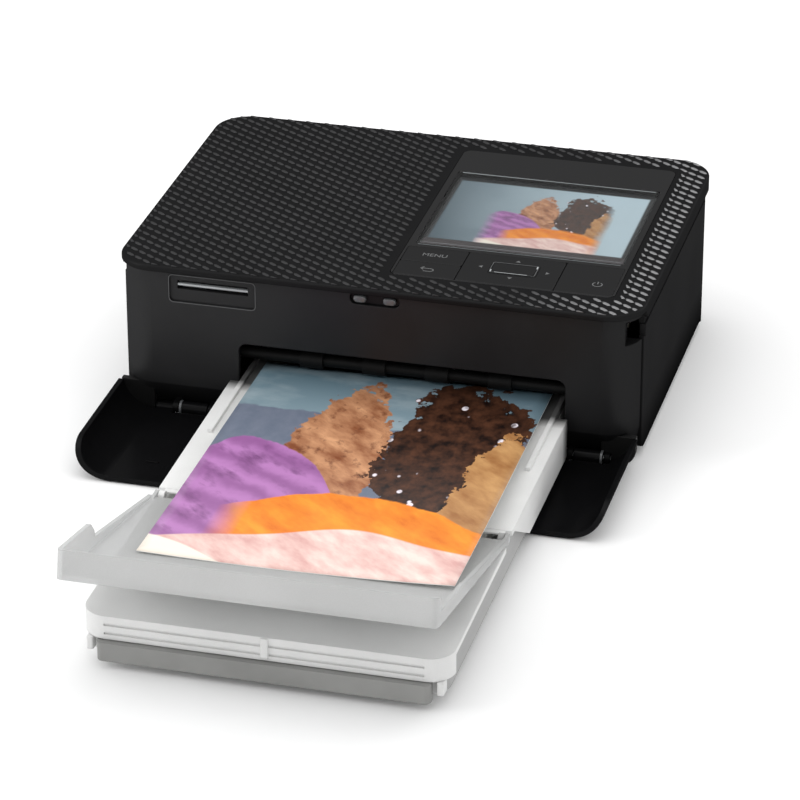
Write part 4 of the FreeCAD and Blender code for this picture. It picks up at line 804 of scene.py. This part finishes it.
def text_piece(name, words, x, y, z, size, body, at_back=False):
    """Printed words on an upward face, or on the back face."""
    curve = bpy.data.curves.new(name, "FONT")
    curve.body = words
    curve.size = size * MM
    curve.extrude = 0.012 * MM
    curve.align_x = "CENTER"
    curve.align_y = "CENTER"
    letters = bpy.data.objects.new(name, curve)
    bpy.context.scene.collection.objects.link(letters)
    bpy.context.view_layer.update()
    mesh = bpy.data.meshes.new_from_object(
        letters.evaluated_get(bpy.context.evaluated_depsgraph_get()))
    bpy.data.objects.remove(letters)
    if at_back:
        mesh.transform(Matrix.Rotation(math.pi, 4, "Z") @ Matrix.Rotation(math.pi / 2, 4, "X"))
        mesh.transform(Matrix.Translation(place(x, y, z)))
    else:
        mesh.transform(Matrix.Translation(place(x, y, z + 0.012)))
    mesh.materials.clear()
    piece(name, mesh, "icon_grey", body)


ink = 0.02
icon_line = 0.38


def strokes(bm, paths, width, z):
    """Flat printed lines along the paths."""
    for path in paths:
        for (x0, y0), (x1, y1) in zip(path, path[1:]):
            length = math.hypot(x1 - x0, y1 - y0)
            nx = -(y1 - y0) / length * width / 2
            ny = (x1 - x0) / length * width / 2
            corners = [(x0 + nx, y0 + ny), (x0 - nx, y0 - ny), (x1 - nx, y1 - ny),
                       (x1 + nx, y1 + ny)]
            slab(bm, corners, z, z + ink)


def arc(cx, cy, radius, start, end, steps=16):
    return [(cx + radius * math.cos(math.radians(start + (end - start) * i / steps)),
             cy + radius * math.sin(math.radians(start + (end - start) * i / steps)))
            for i in range(steps + 1)]


def middle_of(low, high):
    return (low.x + high.x) / 2, (low.y + high.y) / 2


menu_x, menu_y = middle_of(menu_low, menu_high)
text_piece("menu_label", "MENU", menu_x, menu_y, menu_high.z, 3.2, "menu_key")
back_x, back_y = middle_of(back_low, back_high)


def back_icon(bm):
    strokes(bm, [[(back_x - 2.2, back_y + 0.8), (back_x + 1.2, back_y + 0.8)],
                 arc(back_x + 1.2, back_y - 0.3, 1.1, 90, -90, 8),
                 [(back_x + 1.2, back_y - 1.4), (back_x - 1.0, back_y - 1.4)],
                 [(back_x - 1.2, back_y + 1.9), (back_x - 2.3, back_y + 0.8),
                  (back_x - 1.2, back_y - 0.3)]], icon_line, back_high.z)


piece("back_icon", mesh_of(back_icon), "icon_grey", "back_key")
power_x, power_y = middle_of(power_low, power_high)


def power_icon(bm):
    x, y = power_x + 3.4, power_y - 3.0
    strokes(bm, [arc(x, y, 1.6, 125, 415, 22), [(x, y + 0.2), (x, y + 2.1)]], icon_line,
            power_high.z)


piece("power_icon", mesh_of(power_icon), "icon_grey", "power_key")
nav_x, nav_y = middle_of(select_low, select_high)


def nav_marks(bm):
    z = nav_high.z
    reach_x = (select_high.x - select_low.x) / 2 + 3.2
    reach_y = (select_high.y - select_low.y) / 2 + 2.2
    for sx, sy in ((1, 0), (-1, 0), (0, 1), (0, -1)):
        cx, cy = nav_x + sx * reach_x, nav_y + sy * reach_y
        points = [(cx + sx * 0.9, cy + sy * 0.9), (cx - sx * 0.4 + sy * 0.9,
                                                   cy - sy * 0.4 + sx * 0.9),
                  (cx - sx * 0.4 - sy * 0.9, cy - sy * 0.4 - sx * 0.9)]
        slab(bm, points, z, z + ink)


piece("nav_marks", mesh_of(nav_marks), "icon_grey", "nav_pad")


def select_rim(bm):
    """Thin outline round the raised centre key."""
    z = select_high.z - ink
    x0, x1 = select_low.x + 0.35, select_high.x - 0.35
    y0, y1 = select_low.y + 0.35, select_high.y - 0.35
    outline = rounded_outline(x0, x1, y0, y1, 0.7, 4)
    strokes(bm, [outline + [outline[0]]], 0.2, z)


def select_glints(bm):
    """Painted highlights: bright spots at the centre key's two ends and a pale line along its
    lower edge.
    """
    z = select_high.z - ink
    x0, x1 = select_low.x + 0.5, select_high.x - 0.5
    y0, y1 = select_low.y + 0.5, select_high.y - 0.5
    slab(bm, rounded_outline(x0 - 0.2, x0 + 0.5, y0 + 0.1, y0 + 1.9, 0.3, 3), z, z + ink)
    slab(bm, rounded_outline(x1 - 0.5, x1 + 0.2, y1 - 2.0, y1 - 0.1, 0.3, 3), z, z + ink)
    strokes(bm, [[(x0 + 1.6, y0 + 0.1), (x1 - 2.4, y0 + 0.1)]], 0.24, z)


piece("select_rim", mesh_of(select_rim), "icon_grey", "select_key")
piece("select_glints", mesh_of(select_glints), "glint", "select_key")
text_piece("select_label", "OK", nav_x, nav_y, select_high.z - 0.03, 2.2, "select_key")


def display_glass_highlights(bm):
    """Painted highlights: a thin pale line along the display glass's far edge and two thinner
    ones along its near edge, lying on the glass.
    """
    z = glass_high.z
    y = glass_high.y - 1.1
    slab(bm, [(glass_low.x + 1.4, y), (glass_high.x - 1.4, y), (glass_high.x - 1.4, y + 0.45),
              (glass_low.x + 1.4, y + 0.45)], z, z + 0.015)
    for y in (glass_low.y - 0.9, glass_low.y + 1.3):
        slab(bm, [(glass_low.x + 1.0, y), (glass_high.x - 1.0, y),
                  (glass_high.x - 1.0, y + 0.18), (glass_low.x + 1.0, y + 0.18)], z, z + 0.015)


piece("display_glass_highlights", mesh_of(display_glass_highlights), "line_grey", "printer")


def flap_marks(bm):
    slab(bm, rounded_outline(-69.4, -64.6, -35.9, -34.9, 0.4), 2.0, 2.5, 0.15)
    for x, y in ((86.2, -32.0), (87.6, -34.4)):
        slab(bm, rounded_outline(x - 0.5, x + 0.5, y - 0.5, y + 0.5, 0.45), 3.6, 4.6, 0.2)


piece("flap_marks", mesh_of(flap_marks), "flap_gloss", "flap")


def lid_details(bm):
    """Centre tab across the lid's front grooves and clips at the strip's ends."""
    y = lid_low.y
    slab(bm, rounded_outline(8.7, 11.3, y - 0.7, y + 1.4, 0.5), 10.4, 17.2, 0.3)
    for x in (strip_low.x - 2.6, strip_high.x + 2.6):
        slab(bm, rounded_outline(x - 1.1, x + 1.1, y + 0.2, y + 5.0, 0.6), 5.0, 9.2, 0.4)


piece("lid_details", mesh_of(lid_details), "lid_clear", "cassette")


# Back: printed marks over the inlet and the port

text_piece("inlet_label", "DC IN", (dc_low.x + dc_high.x) / 2, back_plane, dc_high.z + 4.0, 2.6,
           "printer", at_back=True)


def port_icon(bm):
    """A generic data symbol over the port: a stem with a branch on each side."""
    turn = Matrix.Translation(place((usb_low.x + usb_high.x) / 2, back_plane, usb_high.z + 3.4))
    turn = turn @ Matrix.Rotation(math.pi / 2, 4, "X") @ Matrix.Translation(-place(0, 0, 0))
    for low, high, left, right in ((-2.0, 2.0, -0.14, 0.14), (-0.7, -0.42, -1.2, 0.0),
                                   (-0.7, 0.7, -1.34, -1.06), (-1.2, -0.92, 0.0, 1.2),
                                   (-1.2, 0.2, 1.06, 1.34)):
        slab(bm, [(left, low), (right, low), (right, high), (left, high)], -0.02, 0.0,
             matrix=turn)


piece("port_icon", mesh_of(port_icon), "icon_grey", "printer")


# Underside: the rating plate on the base's lower face

underside = 2.0
plate_left, plate_right, plate_low, plate_high = -26.0, 26.0, 52.0, 84.0
line_start, line_length, line_height, line_pitch = -22.0, 44.0, 0.6, 4.4
line_shares = (0.9, 0.7, 0.8, 0.5, 0.85, 0.6)


def rating_plate(bm):
    """A plain foil plate with printed lines under the base, set into its floor."""
    slab(bm, rounded_outline(plate_left, plate_right, plate_low, plate_high, 1.5),
         underside - 0.03, underside + 0.02)


def rating_lines(bm):
    z = underside - 0.045
    for i, share in enumerate(line_shares):
        y = 80.0 - line_pitch * i
        end = line_start + line_length * share
        slab(bm, [(line_start, y - line_height), (end, y - line_height), (end, y),
                  (line_start, y)], z, z + 0.015)


piece("rating_plate", mesh_of(rating_plate), "nub", "printer")
piece("rating_lines", mesh_of(rating_lines), "near_black_and_painted_shade", "printer")


def hinge_strip(bm):
    """A thin strip over the gap behind the outer cover's hinge."""
    slab(bm, rounded_outline(inner_low.x + 2.2, inner_high.x - 2.2, -84.0, inner_low.y + 0.4,
                             0.4, 3), 18.2, 18.8, 0.15)


piece("hinge_strip", mesh_of(hinge_strip), "inner_clear", "cassette")


# Corners of the case behind the flap's wings, and the flap's hinge collars

skirt_front, skirt_back = 3.9, 6.1
skirt_low, skirt_high = 0.8, 11.8
skirt_inner = 78.4
skirt_outer = 90.2
skirt_radius = 6.0


def corner_skirts(bm):
    """The case's rounded lower corners that close the gap behind the flap's wings, near black as
    painted shade under the body.
    """
    for way in (-1, 1):
        outline = [(way * skirt_inner, skirt_high), (way * skirt_outer, skirt_high)]
        for x, z in arc(skirt_outer - skirt_radius, skirt_low + skirt_radius, skirt_radius, 0,
                        -90, 8):
            outline.append((way * x, z))
        outline.append((way * skirt_inner, skirt_low))
        slab(bm, outline, -skirt_back, -skirt_front, 0.3, facing_front(0, 0, 0))


piece("corner_skirts", mesh_of(corner_skirts), "near_black_and_painted_shade", "printer")
knob_y, knob_z = 3.2, 3.5
knob_centres = (-68.5, 79.0)
knob_half_length = 0.4


def hinge_knobs(bm):
    """Polished collars at the outer ends of the flap's two knuckles."""
    turn = (Matrix.Translation(place(0, knob_y, knob_z)) @ Matrix.Rotation(
        math.radians(90), 4, "Y") @ Matrix.Translation(-place(0, 0, 0)))
    for x in knob_centres:
        slab(bm, rounded_outline(-2.4, 2.4, -2.4, 2.4, 2.38, 6), x - knob_half_length,
             x + knob_half_length, 0.15, turn)


piece("hinge_knobs", mesh_of(hinge_knobs), "nub", "flap")


# The cassette's coil spring, which stands in for the lift_spring node

wire_radius = 0.4
spring_turns = 3.5
turn_steps = 24
wire_steps = 8


def coil(bm):
    cx, cy = middle_of(spring_low, spring_high)
    radius = (spring_high.x - spring_low.x) / 2 - wire_radius - 0.1
    rise = spring_high.z - spring_low.z - 2 * wire_radius - 0.1
    rings = []
    count = int(spring_turns * turn_steps)
    for i in range(count + 1):
        angle = 2 * math.pi * i / turn_steps
        z = spring_low.z + wire_radius + 0.05 + rise * i / count
        out = Vector((math.cos(angle), math.sin(angle), 0))
        middle = Vector((cx, cy, z)) + out * radius
        ring = []
        for k in range(wire_steps):
            turn = 2 * math.pi * k / wire_steps
            at = middle + (out * math.cos(turn) + Vector((0, 0, math.sin(turn)))) * wire_radius
            ring.append(bm.verts.new(place(at.x, at.y, at.z)))
        rings.append(ring)
    for first, second in zip(rings, rings[1:]):
        for k in range(wire_steps):
            m = (k + 1) % wire_steps
            bm.faces.new((first[k], first[m], second[m], second[k]))
    bm.faces.new(rings[0])
    bm.faces.new(rings[-1])


spring = piece("coil_spring", mesh_of(coil, True), "steel", "cassette",
               ("lift_spring",))
place(*middle_of(spring_low, spring_high), spring_low.z)
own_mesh(spring)


# The print: a slightly curled sheet that passes from the cassette to the tray

sheet_thickness = 0.25
sheet_half_width = 50.0
sheet_skew = math.radians(1.9)
sheet_centre_x = 9.4
sheet_curl = 1.1
cover_axis_y = -86.0
fold_start, fold_end = 1.0, 9.0


def make_print():
    rise = print_high.z - print_low.z - sheet_thickness
    length = print_high.y - print_low.y
    angle = math.atan2(rise, length)
    long_side = math.hypot(length, rise)
    back_y_mm = print_high.y - sheet_half_width * math.sin(sheet_skew) - 1.6
    back_z = print_low.z
    columns, rows = 24, 40
    unprinted = [(-1, -1)] * 4
    mesh = bpy.data.meshes.new("print_sheet")
    bm = bmesh.new()
    flat = bm.loops.layers.uv.new("flat")
    turn = Matrix.Rotation(sheet_skew, 4, "Z") @ Matrix.Rotation(-angle, 4, "X")
    grids = []
    for lift in (0.0, sheet_thickness):
        grid = []
        for j in range(rows + 1):
            row = []
            for i in range(columns + 1):
                u, v = i / columns, j / rows
                point = Vector(((u - 0.5) * 2 * sheet_half_width,
                                -(1 - v) * long_side * 0.998, 0))
                curl = sheet_curl * (2 * u - 1) ** 2 * max(0.0, 1 - v * 2.2) ** 2
                point.z = 0.35 + curl + lift
                point = turn @ point
                row.append(bm.verts.new(place(point.x + sheet_centre_x, point.y + back_y_mm,
                                              point.z + back_z)))
            grid.append(row)
        grids.append(grid)

    def face(corners, where):
        made = bm.faces.new(corners)
        for loop, uv in zip(made.loops, where):
            loop[flat].uv = uv
        made.smooth = True

    low, high = grids
    for j in range(rows):
        for i in range(columns):
            where = [(i / columns, j / rows), ((i + 1) / columns, j / rows),
                     ((i + 1) / columns, (j + 1) / rows), (i / columns, (j + 1) / rows)]
            face((high[j][i], high[j][i + 1], high[j + 1][i + 1], high[j + 1][i]), where)
            face((low[j + 1][i], low[j + 1][i + 1], low[j][i + 1], low[j][i]), unprinted)
    for j in range(rows):
        for i in (0, columns):
            face((low[j][i], low[j + 1][i], high[j + 1][i], high[j][i]), unprinted)
    for i in range(columns):
        for j in (0, rows):
            face((low[j][i], low[j][i + 1], high[j][i + 1], high[j][i]), unprinted)
    bmesh.ops.recalc_face_normals(bm, faces=bm.faces)
    bm.to_mesh(mesh)
    bm.free()
    sheet = piece("finished_print", mesh, "print", None, ("print_sheet",))
    start = place(0, cover_axis_y - fold_start, 22)
    end = place(0, cover_axis_y - fold_end, 23.6)
    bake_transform(sheet)


make_print()


# Camera, solved from the photograph's edges

camera_place = place(322.564, -1191.556, 644.151)
camera_pitch = 0.471129581
camera_turn = 0.262550546
camera_roll = -0.00339428692
near_clip, far_clip = 0.05, 20.0
focal_pixels = 4101.88
frame_pixels = 800.0
sensor_width = 36.0
principal_x = 378.594
principal_y = 403.226


def make_camera():
    forward = Vector((-math.sin(camera_turn) * math.cos(camera_pitch),
                      math.cos(camera_turn) * math.cos(camera_pitch),
                      -math.sin(camera_pitch)))
    right = Vector((math.cos(camera_turn), math.sin(camera_turn), 0))
    up = right.cross(forward)
    right_rolled = right * math.cos(camera_roll) + up * math.sin(camera_roll)
    up_rolled = up * math.cos(camera_roll) - right * math.sin(camera_roll)
    data = bpy.data.cameras.new("camera")
    data.sensor_fit = "HORIZONTAL"
    data.sensor_width = sensor_width
    data.lens = sensor_width * focal_pixels / frame_pixels
    data.shift_x = (frame_pixels / 2 - principal_x) / frame_pixels
    data.shift_y = (principal_y - frame_pixels / 2) / frame_pixels
    data.clip_start = near_clip
    data.clip_end = far_clip
    camera = bpy.data.objects.new("camera", data)
    axes = Matrix((right_rolled, up_rolled, -forward)).transposed()
    camera.matrix_world = Matrix.Translation(camera_place) @ axes.to_4x4()
    bpy.context.scene.collection.objects.link(camera)
    bpy.context.scene.camera = camera


make_camera()


# Studio: pale floor, soft lamps, white surroundings

floor_half = 4.0
floor_drop = 0.0002


def make_floor():
    g = Graph("floor")
    at = g.coords()
    tone = g.mix(g.spread(g.noise(at, 0.01, 3.0), 0.3, 0.7, 0.0, 1.0), (0.93, 0.93, 0.93, 1),
                 (0.95, 0.95, 0.95, 1))
    shader = g.principled(Base_Color=tone, Roughness=g.spread(g.noise(at, 0.2, 3.0), 0.3, 0.7,
                                                              0.7, 0.85))
    shader.inputs["Specular IOR Level"].default_value = 0.1
    finish = g.finish(shader)

    def build(bm):
        corners = [(-floor_half, -floor_half), (floor_half, -floor_half),
                   (floor_half, floor_half), (-floor_half, floor_half)]
        bm.faces.new([bm.verts.new((x, y, -floor_drop)) for x, y in corners])

    mesh = mesh_of(build)
    mesh.materials.append(finish)
    floor = bpy.data.objects.new("floor", mesh)
    bpy.context.scene.collection.objects.link(floor)


def lamp(name, where, towards, size_x, size_y, power):
    data = bpy.data.lights.new(name, "AREA")
    data.shape = "RECTANGLE"
    data.size = size_x
    data.size_y = size_y
    data.energy = power
    thing = bpy.data.objects.new(name, data)
    thing.location = where
    thing.rotation_euler = (Vector(towards) - Vector(where)).to_track_quat("-Z", "Y").to_euler()
    bpy.context.scene.collection.objects.link(thing)


def make_world(ambient):
    world = bpy.data.worlds.new("world")
    world.use_nodes = True
    tree = world.node_tree
    tree.nodes.clear()
    path = tree.nodes.new("ShaderNodeLightPath")
    rays = None
    for output in ("Is Camera Ray", "Is Glossy Ray", "Is Transmission Ray"):
        if rays is None:
            rays = path.outputs[output]
            continue
        join = tree.nodes.new("ShaderNodeMath")
        join.operation = "MAXIMUM"
        tree.links.new(rays, join.inputs[0])
        tree.links.new(path.outputs[output], join.inputs[1])
        rays = join.outputs[0]
    strength = tree.nodes.new("ShaderNodeMapRange")
    strength.inputs["To Min"].default_value = ambient
    strength.inputs["To Max"].default_value = 1.0
    tree.links.new(rays, strength.inputs["Value"])
    back = tree.nodes.new("ShaderNodeBackground")
    back.inputs["Color"].default_value = (1, 1, 1, 1)
    tree.links.new(strength.outputs[0], back.inputs["Strength"])
    out = tree.nodes.new("ShaderNodeOutputWorld")
    tree.links.new(back.outputs[0], out.inputs["Surface"])
    bpy.context.scene.world = world


make_floor()
make_world(0.9)
lamp("overhead", (-0.1, 0.1, 1.5), (0, 0, 0), 1.6, 1.2, 6.8)
lamp("left", (-1.3, -0.6, 0.7), (0, 0, 0.03), 0.5, 1.0, 7.0)
lamp("right_back", (0.9, 1.2, 0.7), (0.05, 0, 0.05), 0.9, 0.5, 4.5)
bpy.context.scene.view_settings.view_transform = "Standard"
